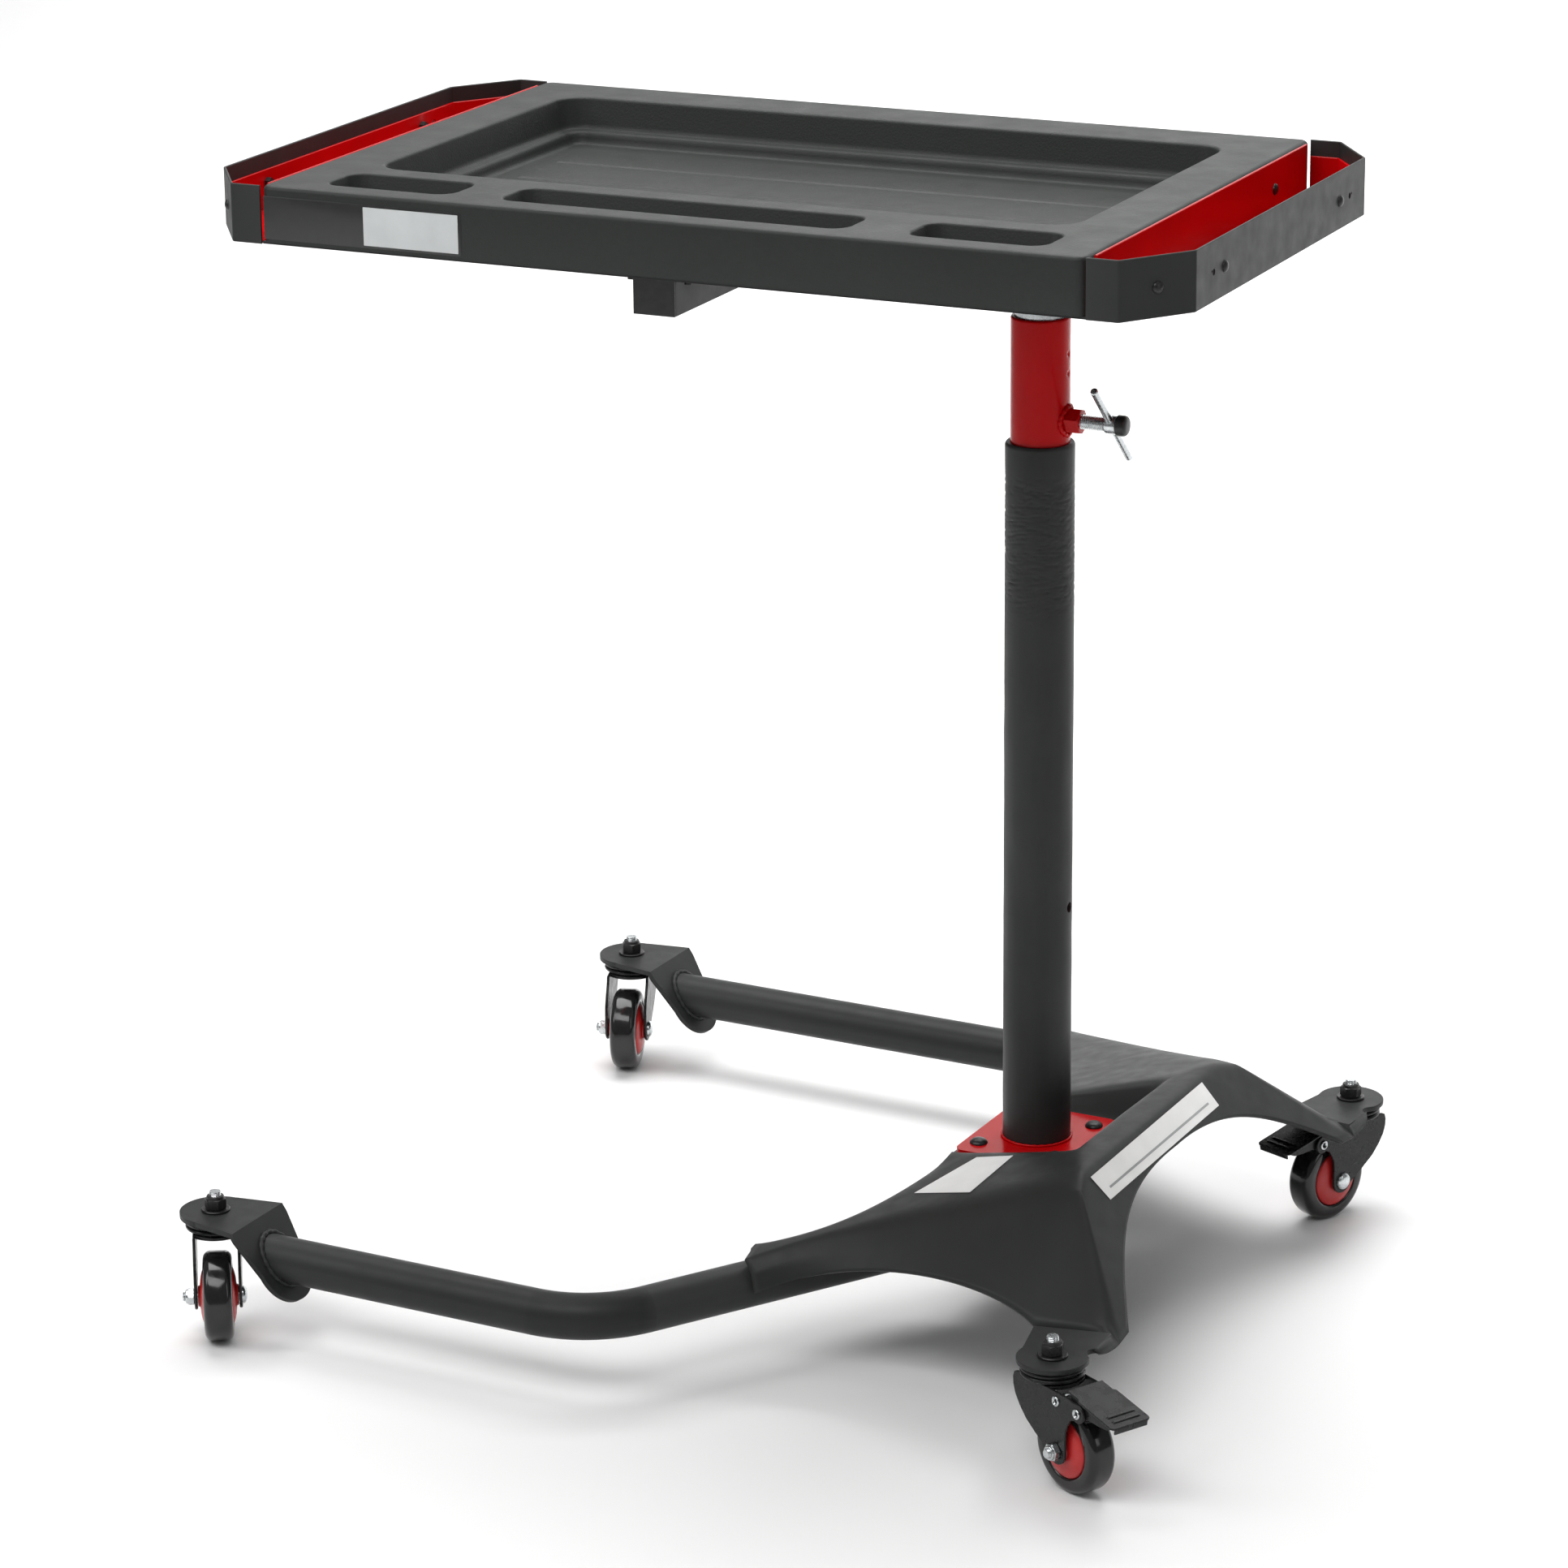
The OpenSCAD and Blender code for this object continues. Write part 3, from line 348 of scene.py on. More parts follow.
def rounded_box(x0, y0, x1, y1, radius, z):
    corners = ((x1 - radius, y1 - radius, 0), (x0 + radius, y1 - radius, 90),
               (x0 + radius, y0 + radius, 180), (x1 - radius, y0 + radius, 270))
    flat = [p for cx, cy, a in corners for p in arc(cx, cy, radius, a, a + 90, 10)]
    return [(x, y, z) for x, y in flat]


def scaled(bm, matrix=None):
    """Brings a mesh drawn in millimetres to its place and to metres."""
    move = matrix or Matrix.Identity(4)
    bmesh.ops.transform(bm, matrix=Matrix.Scale(MM, 4) @ move, verts=bm.verts)


def piece(name, bm, like, replaces=(), finish=None, smooth_angle=40, matrix=None, weighted=True):
    """Makes an object from a mesh drawn in millimetres, on the body of the CAD node it is like."""
    scaled(bm, matrix)
    bmesh.ops.remove_doubles(bm, verts=bm.verts, dist=0.5e-6)
    bmesh.ops.recalc_face_normals(bm, faces=bm.faces)
    mesh = bpy.data.meshes.new(name)
    bm.to_mesh(mesh)
    bm.free()
    mesh.materials.append(finish or FINISH[SLOT_OF[like]])
    mesh.polygons.foreach_set("use_smooth", [True] * len(mesh.polygons))
    mesh.set_sharp_from_angle(angle=math.radians(smooth_angle))
    obj = bpy.data.objects.new(name, mesh)
    scene.collection.objects.link(obj)
    if weighted:
        weights = obj.modifiers.new("flat_faces", "WEIGHTED_NORMAL")
        weights.keep_sharp = True
    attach(obj, BODY_OF[like])
    if replaces:
        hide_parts(*replaces)
    return obj


def whole(node, ending, bm, smooth_angle, matrix=None, weighted=True):
    """A piece that stands for one whole CAD node."""
    return piece(f"{node}_{ending}", bm, node, (node,), smooth_angle=smooth_angle, matrix=matrix,
                 weighted=weighted)


def turned(node, ending, profile, count, smooth_angle, matrix, weighted=True):
    """A turned piece that stands for one whole CAD node."""
    bm = bmesh.new()
    lathe(bm, profile, count)
    whole(node, ending, bm, smooth_angle, matrix, weighted)


def softened(node, width):
    """A copy of a CAD node with its sharp edges rounded, as a pressed or moulded part has them."""
    bm = bmesh.new()
    bm.from_mesh(frame["nodes"][node].data)
    bmesh.ops.transform(bm, matrix=Matrix.Scale(1 / MM, 4), verts=bm.verts)
    bmesh.ops.remove_doubles(bm, verts=bm.verts, dist=0.002)
    bmesh.ops.dissolve_limit(bm, angle_limit=math.radians(0.4), verts=bm.verts, edges=bm.edges)
    limit = math.radians(35)
    sharp = [e for e in bm.edges if len(e.link_faces) == 2 and e.calc_face_angle(0) > limit]
    bmesh.ops.bevel(bm, geom=sharp, offset=width, segments=2, profile=0.5, affect="EDGES",
                    clamp_overlap=True)
    whole(node, "finished", bm, 50)


# ---------------------------------------------------------------- the base's own frame

# The legs' casters stand on a line across the base, so its turn can be read from their swivels.
SWIVEL = {c: Vector(JOINT["swivel_" + c]["pos_m"]) for c in ("fl", "rl", "fr", "rr")}
across_base = SWIVEL["rl"] - SWIVEL["fl"]
BASE = Matrix.Rotation(-math.atan2(across_base.x, across_base.y), 4, "Z")


def caster_frame(corner):
    """Millimetres: +X trails behind the swivel axis, and the stem's axis is at 0, 0."""
    stem = SWIVEL[corner]
    wheel = Vector(JOINT["roll_" + corner]["pos_m"])
    trail = wheel - stem
    turn = Matrix.Rotation(math.atan2(trail.y, trail.x), 4, "Z")
    return Matrix.Translation((stem.x / MM, stem.y / MM, 0)) @ turn


# ---------------------------------------------------------------- tray

tray_low, tray_high = node_box("tray")
TRAY_WALL = 3
TRAY_CORNER = 9
RIM_ROLL = 4
BASIN_INSET = (48, 99.5, 52, 54.5)
BASIN_DEPTH = 38
BASIN_CORNER = 25
POCKET_DEPTH = 22
POCKET_CORNER = 14
POCKET_FRONT = 24.5
POCKET_BACK = 74.5
POCKET_SIDE = 44
POCKET_SHORT = 112
POCKET_LONG = 295
MIDDLE_SHIFT = -4
BAND_COUNT = 4
BAND_GAP = 10
BAND_END = 34
BAND_SIDE = 30


def recess_profile(depth, draft, lip, foot):
    """(inset, depth) down one wall: rounded lip, drafted wall, rounded foot."""
    top = [(-lip + lip * math.sin(a), lip - lip * math.cos(a))
           for a in (math.radians(15 * i) for i in range(7))]
    bottom = [(draft + foot - foot * math.cos(a), depth - foot + foot * math.sin(a))
              for a in (math.radians(15 * i) for i in range(7))]
    return top + bottom


def basin_profile():
    """As a recess, with a low rounded ledge round the foot of the wall."""
    top = recess_profile(BASIN_DEPTH, 3, 3, 3)[:7]
    ledge = [(4.0, 22.0), (4.5, 24.0), (5.6, 25.6), (7.4, 26.6), (9.6, 27.2), (11.4, 28.2),
             (12.6, 30.0), (13.2, 32.4), (13.9, 34.8), (15.2, 36.6), (17.0, 37.6), (19.5, 38.0)]
    return top + ledge


def recess_loops(box, corner, profile):
    x0, y0, x1, y1 = box
    return [
        rounded_box(x0 + d, y0 + d, x1 - d, y1 - d, max(corner - d, 4), tray_high[2] - drop)
        for d, drop in profile
    ]


def tray_recesses():
    x0, x1 = tray_low[0], tray_high[0]
    left, front, right, back = BASIN_INSET
    basin = (x0 + left, tray_low[1] + front, x1 - right, tray_high[1] - back)
    middle = (x0 + x1) / 2 + MIDDLE_SHIFT
    y0, y1 = tray_low[1] + POCKET_FRONT, tray_low[1] + POCKET_BACK
    pocket = recess_profile(POCKET_DEPTH, 4, 2.5, 6)
    yield recess_loops(basin, BASIN_CORNER, basin_profile())
    for a, b in ((x0 + POCKET_SIDE, x0 + POCKET_SIDE + POCKET_SHORT),
                 (middle - POCKET_LONG / 2, middle + POCKET_LONG / 2),
                 (x1 - POCKET_SIDE - POCKET_SHORT, x1 - POCKET_SIDE)):
        yield recess_loops((a, y0, b, y1), POCKET_CORNER, pocket)


def pad(bm, x0, x1, y0, y1, z, height, soft):
    """A low raised band along X with soft long edges, standing on z."""
    across = [(y0, 0), (y0 + soft * 0.3, height * 0.25), (y0 + soft * 0.7, height * 0.85),
              (y0 + soft * 1.2, height), (y1 - soft * 1.2, height),
              (y1 - soft * 0.7, height * 0.85), (y1 - soft * 0.3, height * 0.25), (y1, 0)]
    loops = []
    for x, share in ((x0, 0), (x0 + soft * 0.6, 0.7), (x0 + soft * 1.2, 1), (x1 - soft * 1.2, 1),
                     (x1 - soft * 0.6, 0.7), (x1, 0)):
        loops.append([(x, y, z - 0.4 + (h + 0.4) * share) for y, h in across])
    rings(bm, loops, closed=False)


def thickened(obj, sheet, even):
    """Gives an open surface its sheet, on the inner side."""
    shell = obj.modifiers.new("sheet", "SOLIDIFY")
    shell.thickness = sheet * MM
    shell.offset = -1
    shell.use_even_offset = even


def make_tray():
    bm = bmesh.new()
    outer = [(0, tray_low[2] - tray_high[2])]
    outer += [(RIM_ROLL - RIM_ROLL * math.cos(a), RIM_ROLL * math.sin(a) - RIM_ROLL)
              for a in (math.radians(15 * i) for i in range(7))]
    skirt = rings(bm, [
        rounded_box(tray_low[0] + d, tray_low[1] + d, tray_high[0] - d, tray_high[1] - d,
                    TRAY_CORNER - d, tray_high[2] + z)
        for d, z in outer
    ])
    openings = []
    for loops in tray_recesses():
        made = rings(bm, loops)
        openings.append(made[0])
        bm.faces.new(made[-1])
    edges = []
    for ring in [skirt[-1]] + openings:
        for i, v in enumerate(ring):
            edges.append(bm.edges.get((v, ring[(i + 1) % len(ring)])))
    bmesh.ops.triangle_fill(bm, use_beauty=True, use_dissolve=False, edges=edges)
    obj = whole("tray", "moulding", bm, 60, weighted=False)
    thickened(obj, TRAY_WALL, True)
    weights = obj.modifiers.new("flat_faces", "WEIGHTED_NORMAL")
    weights.keep_sharp = True


def make_basin_bands():
    """Raised bands along the basin's floor."""
    left, front, right, back = BASIN_INSET
    x0 = tray_low[0] + left + BAND_END
    x1 = tray_high[0] - right - BAND_END
    y0 = tray_low[1] + front + BAND_SIDE
    y1 = tray_high[1] - back - BAND_SIDE
    pitch = (y1 - y0) / BAND_COUNT
    bm = bmesh.new()
    for i in range(BAND_COUNT):
        pad(bm, x0, x1, y0 + i * pitch + BAND_GAP / 2, y0 + (i + 1) * pitch - BAND_GAP / 2,
            tray_high[2] - BASIN_DEPTH, 1.0, 3)
    piece("tray_floor_bands", bm, "tray")


# ---------------------------------------------------------------- sheet parts


def rounded_corner(a, b, c, radius, steps):
    """Points round the corner at b, between its two sides."""
    a, b, c = Vector(a), Vector(b), Vector(c)
    before, after = (a - b).normalized(), (c - b).normalized()
    reach = radius / math.tan(before.angle(after) / 2)
    start, end = b + before * reach, b + after * reach
    return [(1 - t) ** 2 * start + 2 * t * (1 - t) * b + t * t * end
            for t in (k / steps for k in range(steps + 1))]


def corner_path(points, radius):
    """An open path in plan with its inner corners rounded to a radius."""
    made = [Vector(points[0])]
    for a, b, c in zip(points, points[1:], points[2:]):
        made += rounded_corner(a, b, c, radius, 4)
    return made + [Vector(points[-1])]


def offset_path(path, distance, closed=False):
    """The path moved to its left, which is inward for a closed anticlockwise one."""
    path = [Vector(p) for p in path]
    count = len(path)
    moved = []
    for i, p in enumerate(path):
        sides = []
        if closed or i:
            sides.append((p - path[i - 1]).normalized())
        if closed or i + 1 < count:
            sides.append((path[(i + 1) % count] - p).normalized())
        along = sum(sides, Vector((0, 0))).normalized()
        left = Vector((-along.y, along.x))
        lean = left.dot(Vector((-sides[-1].y, sides[-1].x)))
        moved.append(p + left * distance / max(0.3, lean))
    return moved


def upright_sheet(bm, path, thickness, z0, z1, edge=0.55):
    """A wall along a path in plan, which is its outer face, with rounded top and bottom edges."""
    inner = offset_path(path, thickness)
    loops = []
    profile = [(0, z0 + edge), (0, z1 - edge), (edge, z1), (thickness - edge, z1),
               (thickness, z1 - edge), (thickness, z0 + edge), (thickness - edge, z0), (edge, z0)]
    for a, b in zip(path, inner):
        side = (b - a) / thickness
        loops.append([(a.x + side.x * d, a.y + side.y * d, z) for d, z in profile])
    rings(bm, loops, cap_start=True, cap_end=True)


def cut(obj, cutter_mesh, name):
    """Cuts a mesh drawn in millimetres out of a piece, and leaves no modifier behind."""
    scaled(cutter_mesh)
    bmesh.ops.recalc_face_normals(cutter_mesh, faces=cutter_mesh.faces)
    mesh = bpy.data.meshes.new(name)
    cutter_mesh.to_mesh(mesh)
    cutter_mesh.free()
    cutter = bpy.data.objects.new(name, mesh)
    scene.collection.objects.link(cutter)
    made = obj.modifiers.new("cut", "BOOLEAN")
    made.operation = "DIFFERENCE"
    made.solver = "EXACT"
    made.object = cutter
    while obj.modifiers[0] != made:
        with bpy.context.temp_override(object=obj):
            bpy.ops.object.modifier_move_to_index(modifier="cut", index=0)
    weights = [m.name for m in obj.modifiers if m.type == "WEIGHTED_NORMAL"]
    for m in weights:
        obj.modifiers.remove(obj.modifiers[m])
    result = bpy.data.meshes.new_from_object(
        obj.evaluated_get(bpy.context.evaluated_depsgraph_get()))
    obj.modifiers.clear()
    obj.data = result
    result.set_sharp_from_angle(angle=math.radians(40))
    for m in weights:
        obj.modifiers.new(m, "WEIGHTED_NORMAL").keep_sharp = True
    bpy.data.objects.remove(cutter)


def bar(bm, a, b, radius, count=24):
    """A plain round bar between two points, for cutting holes."""
    a, b = Vector(a), Vector(b)
    turn = (b - a).to_track_quat("Z", "X").to_matrix().to_4x4()
    made = bmesh.ops.create_cone(bm, cap_ends=True, segments=count, radius1=radius,
                                 radius2=radius, depth=(b - a).length)
    bmesh.ops.transform(bm, matrix=Matrix.Translation((a + b) / 2) @ turn, verts=made["verts"])


RAIL_RETURN = 26.5
RAIL_HALF = 190
RAIL_SHEET = 2
RAIL_BEND = 3.5
RAIL_GAP = 1.5
PAN_SHEET = 2
PAN_INSIDE = 0.1
LIP_HEIGHT = 34
WALL_SETBACK = 16
RAIL_REACH = 1.2
OPEN_HOLE_Y = 153
OPEN_HOLE_RADIUS = 2.6
SLOT_RADIUS = 1.1
SCREW_HEIGHT = 23


def end_plan(right, reach_in=0.0):
    """Corner points of the end rail's outer face, in plan, from one side of the tray to the other."""
    low, high = node_box("rail_right" if right else "rail_left")
    tray_end = tray_high[0] if right else tray_low[0]
    side = 1 if right else -1
    outer = high[0] if right else low[0]
    near = tray_end + side * (RAIL_GAP - reach_in)
    knee = tray_end + side * RAIL_RETURN
    half = tray_high[1]
    points = [(near, -half), (knee, -half), (outer, -RAIL_HALF), (outer, RAIL_HALF),
              (knee, half), (near, half)]
    return points if right else points[::-1]


def cut_holes(obj, node, outer, low_z, slots):
    """The open holes through a rail or a pan's lip, and the small slots beside a rail's."""
    cutter = bmesh.new()
    z = low_z + SCREW_HEIGHT
    for y in (-OPEN_HOLE_Y, OPEN_HOLE_Y):
        bar(cutter, (outer - 8, y, z), (outer + 8, y, z), OPEN_HOLE_RADIUS)
        slot_y = y + math.copysign(4.2, y)
        if slots:
            bar(cutter, (outer - 8, slot_y, z + 1.2), (outer + 8, slot_y, z + 1.2), SLOT_RADIUS, 12)
    cut(obj, cutter, node + "_cutter")


def make_rail(right):
    node = "rail_right" if right else "rail_left"
    low, high = node_box(node)
    path = corner_path(end_plan(right, RAIL_REACH), RAIL_BEND)
    bm = bmesh.new()
    upright_sheet(bm, path, RAIL_SHEET, low[2], high[2])
    obj = whole(node, "sheet", bm, 50)
    cut_holes(obj, node, high[0] if right else low[0], low[2], True)


def make_end_pan(right):
    """Red pan inside the rail: floor with rounded marks, outer lip and the wall against the tray."""
    node = "end_pan_right" if right else "end_pan_left"
    low, high = node_box(node)
    path = corner_path(end_plan(right), RAIL_BEND)
    inner = offset_path(path, RAIL_SHEET + PAN_INSIDE)
    bm = bmesh.new()
    upright_sheet(bm, inner, PAN_SHEET, low[2], low[2] + LIP_HEIGHT)
    wall_x = low[0] if right else high[0]
    half = tray_high[1] - WALL_SETBACK
    ends = [Vector((wall_x, -half)), Vector((wall_x, half))]
    upright_sheet(bm, ends[::-1] if right else ends, PAN_SHEET, low[2], high[2])
    obj = whole(node, "walls", bm, 50)
    outer = high[0] if right else low[0]
    cut_holes(obj, node, outer, low[2], False)
    make_pan_floor(node, right, wall_x, outer, low[2])


MARK_PITCH = 50
MARK_RADIUS = 15
MARK_HEIGHT = 1.1


def make_pan_floor(node, right, wall_x, outer, z):
    side = 1 if right else -1
    knee = (tray_high[0] if right else tray_low[0]) + side * RAIL_RETURN
    half = tray_high[1] - RAIL_SHEET - PAN_INSIDE - 0.5
    edge = outer - side * 0.5
    slope = (half - RAIL_HALF) / abs(edge - knee)

    def reach(x):
        past = abs(x - knee) if (x - knee) * side > 0 else 0
        return half - slope * past

    columns = 22
    rows = 164
    start = wall_x + side * 0.5
    middle = (start + edge) / 2
    sheet = []
    for i in range(columns + 1):
        x = start + (edge - start) * i / columns
        line = []
        for k in range(rows + 1):
            y = reach(x) * (2 * k / rows - 1)
            near = round(y / MARK_PITCH) * MARK_PITCH
            distance = math.hypot(x - middle, y - near) / MARK_RADIUS
            lift = MARK_HEIGHT * (1 + math.cos(math.pi * min(1, distance))) / 2
            line.append((x, y, z + PAN_SHEET + (lift if abs(near) < 200 else 0)))
        sheet.append(line)
    bm = bmesh.new()
    top = rings(bm, sheet, closed=False)
    border = top[0] + [line[-1] for line in top[1:-1]] + top[-1][::-1]
    border += [line[0] for line in top[-2:0:-1]]
    below = [bm.verts.new((v.co.x, v.co.y, z + 0.1)) for v in border]
    for i in range(len(border)):
        j = (i + 1) % len(border)
        bm.faces.new((border[i], border[j], below[j], below[i]))
    bm.faces.new(below)
    piece(node + "_floor", bm, node, smooth_angle=60, weighted=False)


# ---------------------------------------------------------------- base cover

COVER_SHEET = 3
RIDGE = (106, 148, 184)
FACE_LEAN = 0.88
PIT = (52, 62)
FLOOR_X0 = -50
PLATE_Z = 143
EAR_TOP = 101.5
EAR_LOW = 97
EAR_RADIUS = 28.5
ARM_ROOT = (-46, -66)
LIP_CORNER = (78, -90)
LIP_Z = 182.5
CREST_FOOT = Vector((180, -246, EAR_TOP))
FOLD_END = Vector((183, -280, EAR_TOP))
EAR_CORNER = Vector((120.5, -260, EAR_TOP))
STEM = (158, -305)
LAST = 10


class Arm:
    """One arm of the cover, drawn on the -Y side: where it ends on its leg tube, the slopes of
    its top, how far the inner skirt stands off the tube, and the curves of its edges."""

    def __init__(self, end, angle, slope, stand_off, crease, inner, outer):
        self.end = end
        self.angle = math.radians(angle)
        self.slope = slope
        self.stand_off = stand_off
        self.crease = crease
        self.inner = inner
        self.outer = outer

    def height(self, p):
        return RIDGE[2] + self.slope[0] * (p[0] - RIDGE[0]) + self.slope[1] * (p[1] + RIDGE[1])

    def top(self, p):
        return Vector((p[0], p[1], self.height(p)))

    def beside_tube(self, s, n, z):
        """s along the leg tube from the arm's end, n across it."""
        return Vector((self.end[0] + s * math.cos(self.angle) + n * math.sin(self.angle),
                       self.end[1] + s * math.sin(self.angle) - n * math.cos(self.angle), z))


FRONT_ARM = Arm((-158, -231), 59, (0.3008, 0.1185), (10, 17, 24), ((20, -170), (-90, -190)),
                ((-60, -150), (-80, -200)), ((70, -232, 120), (-60, -198, 112)))
REAR_ARM = Arm((-150, -345), 30, (0.2751, 0.0709), (14, 23, 30), ((30, -205), (-80, -295)),
               ((-75, -140), (-112, -240)), ((60, -248, 124), (-72, -312, 104)))


def end_x(z):
    return RIDGE[0] + FACE_LEAN * (RIDGE[2] - z)


def bezier(a, b, c, d, t):
    a, b, c, d = (Vector(p) for p in (a, b, c, d))
    return (1 - t) ** 3 * a + 3 * t * (1 - t) ** 2 * b + 3 * t * t * (1 - t) * c + t ** 3 * d


def mix(a, b, t):
    return Vector(a) * (1 - t) + Vector(b) * t


def crease(arm, j):
    t = max(0, j - 1) / (LAST - 1)
    tip = arm.beside_tube(0, 10, 0).xy
    return arm.top(bezier((RIDGE[0], -RIDGE[1]), *arm.crease, tip, t))


def inner_edge(arm, j):
    if j < 4:
        return arm.top(mix(LIP_CORNER, ARM_ROOT, max(0, j - 1) / 3))
    tip = arm.beside_tube(22, -arm.stand_off[0], 0).xy
    return arm.top(bezier(ARM_ROOT, *arm.inner, tip, (j - 4) / (LAST - 4)))


def outer_edge(arm, j):
    if j < 1:
        return mix(CREST_FOOT, EAR_CORNER, j)
    return bezier(EAR_CORNER, *arm.outer, arm.beside_tube(0, 24, 71), (j - 1) / (LAST - 1))


def outer_mid(arm, j):
    return (crease(arm, j) + outer_edge(arm, j)) / 2 + (j / LAST) ** 4 * Vector((3, -2, 3))


def inner_skirt(arm, foot, across, j):
    if j <= 4:
        return arm.top(ARM_ROOT)
    return mix(foot, arm.beside_tube(22, -across, foot[2]), (j - 4) / (LAST - 4))


def skirt_mid(arm, j):
    return inner_skirt(arm, (-77, -64, 92), arm.stand_off[1], j)


def skirt_low(arm, j):
    return inner_skirt(arm, (-83, -60, 72), arm.stand_off[2], j)


def pit_edge(_, j):
    return Vector((PIT[0] + (FLOOR_X0 - PIT[0]) * max(0, j - 1) / 3, -PIT[1], PLATE_Z))


def narrowing(j):
    """1 up to column 3, then down to 0 on the centre plane."""
    return 1 - max(0, j - 3) / (LAST - 3)


def ridge_row(_, j):
    return Vector((RIDGE[0], -RIDGE[1] * narrowing(j), RIDGE[2]))


def arch_row(_, j):
    if j == 0:
        return CREST_FOOT
    if j < 2:
        y, z = -246 + 12 * j, 92 + j
    else:
        y, z = bezier((-222, 94), (-150, 140), (-110, 162), (0, 160.5), (j - 2) / (LAST - 2))
    return Vector((end_x(z), y, z))


def lip_row(arm, j):
    share = narrowing(j)
    low = arm.height(LIP_CORNER)
    return Vector((LIP_CORNER[0], LIP_CORNER[1] * share, LIP_Z + (low - LIP_Z) * share))


def pit_row(_, j):
    return Vector((PIT[0], -PIT[1] * narrowing(j), PLATE_Z))


FINE = 5
SMOOTHING = 12


def patch(bm, arm, a, b, start=0, end=LAST, steps=6):
    """Surface between two rows, FINE samples to a column."""
    samples = [start + i / FINE for i in range((end - start) * FINE + 1)]
    rings(bm, [[mix(a(arm, j), b(arm, j), k / steps) for j in samples] for k in range(steps + 1)],
          closed=False)


def cover_half(arm):
    """One half of the pressed cover, drawn on the -Y side, as an open surface."""
    bm = bmesh.new()
    patch(bm, arm, inner_edge, crease, 1, steps=14)
    patch(bm, arm, crease, outer_mid, steps=8)
    patch(bm, arm, outer_mid, outer_edge, steps=8)
    patch(bm, arm, skirt_mid, inner_edge, 4, steps=6)
    patch(bm, arm, skirt_low, skirt_mid, 4, steps=4)
    patch(bm, arm, pit_edge, inner_edge, 1, 4, steps=10)
    patch(bm, arm, lip_row, ridge_row, 3, steps=14)
    patch(bm, arm, ridge_row, arch_row, steps=16)
    patch(bm, arm, pit_row, lip_row, 3, steps=10)
    drop = arch_row(arm, 1 / FINE) - CREST_FOOT
    fold = [mix(CREST_FOOT, FOLD_END, k / 8) for k in range(9)]
    rings(bm, [fold, [p + drop * math.sqrt(1 - (k / 8) ** 2) for k, p in enumerate(fold)]],
          closed=False)
    floor_rows = [[Vector((p.x, p.y * (1 - k / 12), p.z)) for p in
                   (pit_edge(arm, 1 + 3 * i / 15) for i in range(16))] for k in range(13)]
    rings(bm, floor_rows, closed=False)
    return bm


def join(bm, other):
    """Takes over what another drawing holds."""
    draft = bpy.data.meshes.new("draft")
    other.to_mesh(draft)
    other.free()
    bm.from_mesh(draft)
    bpy.data.meshes.remove(draft)


def make_cover():
    bm = cover_half(REAR_ARM)
    for v in bm.verts:
        v.co.y = -v.co.y
    join(bm, cover_half(FRONT_ARM))
    bmesh.ops.remove_doubles(bm, verts=bm.verts, dist=0.02)
    bmesh.ops.recalc_face_normals(bm, faces=bm.faces)
    inside = [v for v in bm.verts if not v.is_boundary]
    for _ in range(SMOOTHING):
        bmesh.ops.smooth_vert(bm, verts=inside, factor=0.5, use_axis_x=True, use_axis_y=True,
                              use_axis_z=True)
    obj = whole("base_cover", "pressing", bm, 70, BASE, weighted=False)
    thickened(obj, COVER_SHEET, False)


def flat_plate(bm, outline, z0, z1, edge=0.6):
    """A plate with a given outline in plan, and rounded edges."""
    inset = offset_path(outline, edge, closed=True)
    rings(bm, [
        [(x, y, z0) for x, y in inset], [(x, y, z0 + edge) for x, y in outline],
        [(x, y, z1 - edge) for x, y in outline], [(x, y, z1) for x, y in inset]
    ], cap_start=True, cap_end=True)


def rounded_outline(corners):
    """Corners as (x, y, radius), anticlockwise, turned into an outline."""
    made = []
    for i, (x, y, radius) in enumerate(corners):
        after = corners[(i + 1) % len(corners)]
        if radius:
            made += [(p.x, p.y) for p in
                     rounded_corner(corners[i - 1][:2], (x, y), after[:2], radius, 5)]
        else:
            made.append((x, y))
    return made


def ear_outline():
    """The ear over a caster: round the stem, out to the notch and the lobe of the right face."""
    x, y = STEM
    round_end = arc(x, y, EAR_RADIUS, 170, 382, 26)
    notch = [(x + 23.2, y + 14.2), (x + 20.8, y + 17.6), (x + 20.2, y + 21.4), (x + 21.6, y + 24.6),
             (FOLD_END.x - 0.6, FOLD_END.y + 2.4)]
    return round_end + notch + [(CREST_FOOT.x + 1, CREST_FOOT.y), (CREST_FOOT.x - 6, CREST_FOOT.y + 4),
                                (EAR_CORNER.x + 4, EAR_CORNER.y + 4), (EAR_CORNER.x, EAR_CORNER.y)]


def make_ears():
    bm = bmesh.new()
    flat_plate(bm, ear_outline(), EAR_LOW, EAR_TOP)
    twin = bmesh.ops.duplicate(bm, geom=bm.verts[:] + bm.edges[:] + bm.faces[:])
    for g in twin["geom"]:
        if isinstance(g, bmesh.types.BMVert):
            g.co.y = -g.co.y
    piece("base_cover_ears", bm, "base_cover", matrix=BASE, smooth_angle=50)


# ---------------------------------------------------------------- round surfaces


def round_surface(bm, radius, z0, z1, rows, count, bore=0.0):
    """A rod, or a tube with a plain bore, whose outer radius is a function of angle and height."""
    loops = []
    for k in range(rows + 1):
        z = z0 + (z1 - z0) * k / rows
        loops.append([(radius(a, z) * math.cos(a), radius(a, z) * math.sin(a), z)
                      for a in (math.tau * i / count for i in range(count))])
    if bore:
        rings(bm, loops + [circle(bore, z1, count), circle(bore, z0, count)], tube=True)
    else:
        rings(bm, loops, cap_start=True, cap_end=True)


POST_RADIUS = 24
POST_BORE = 21
DIMPLES = (815, 799)
DIMPLE_RADIUS = 3.4


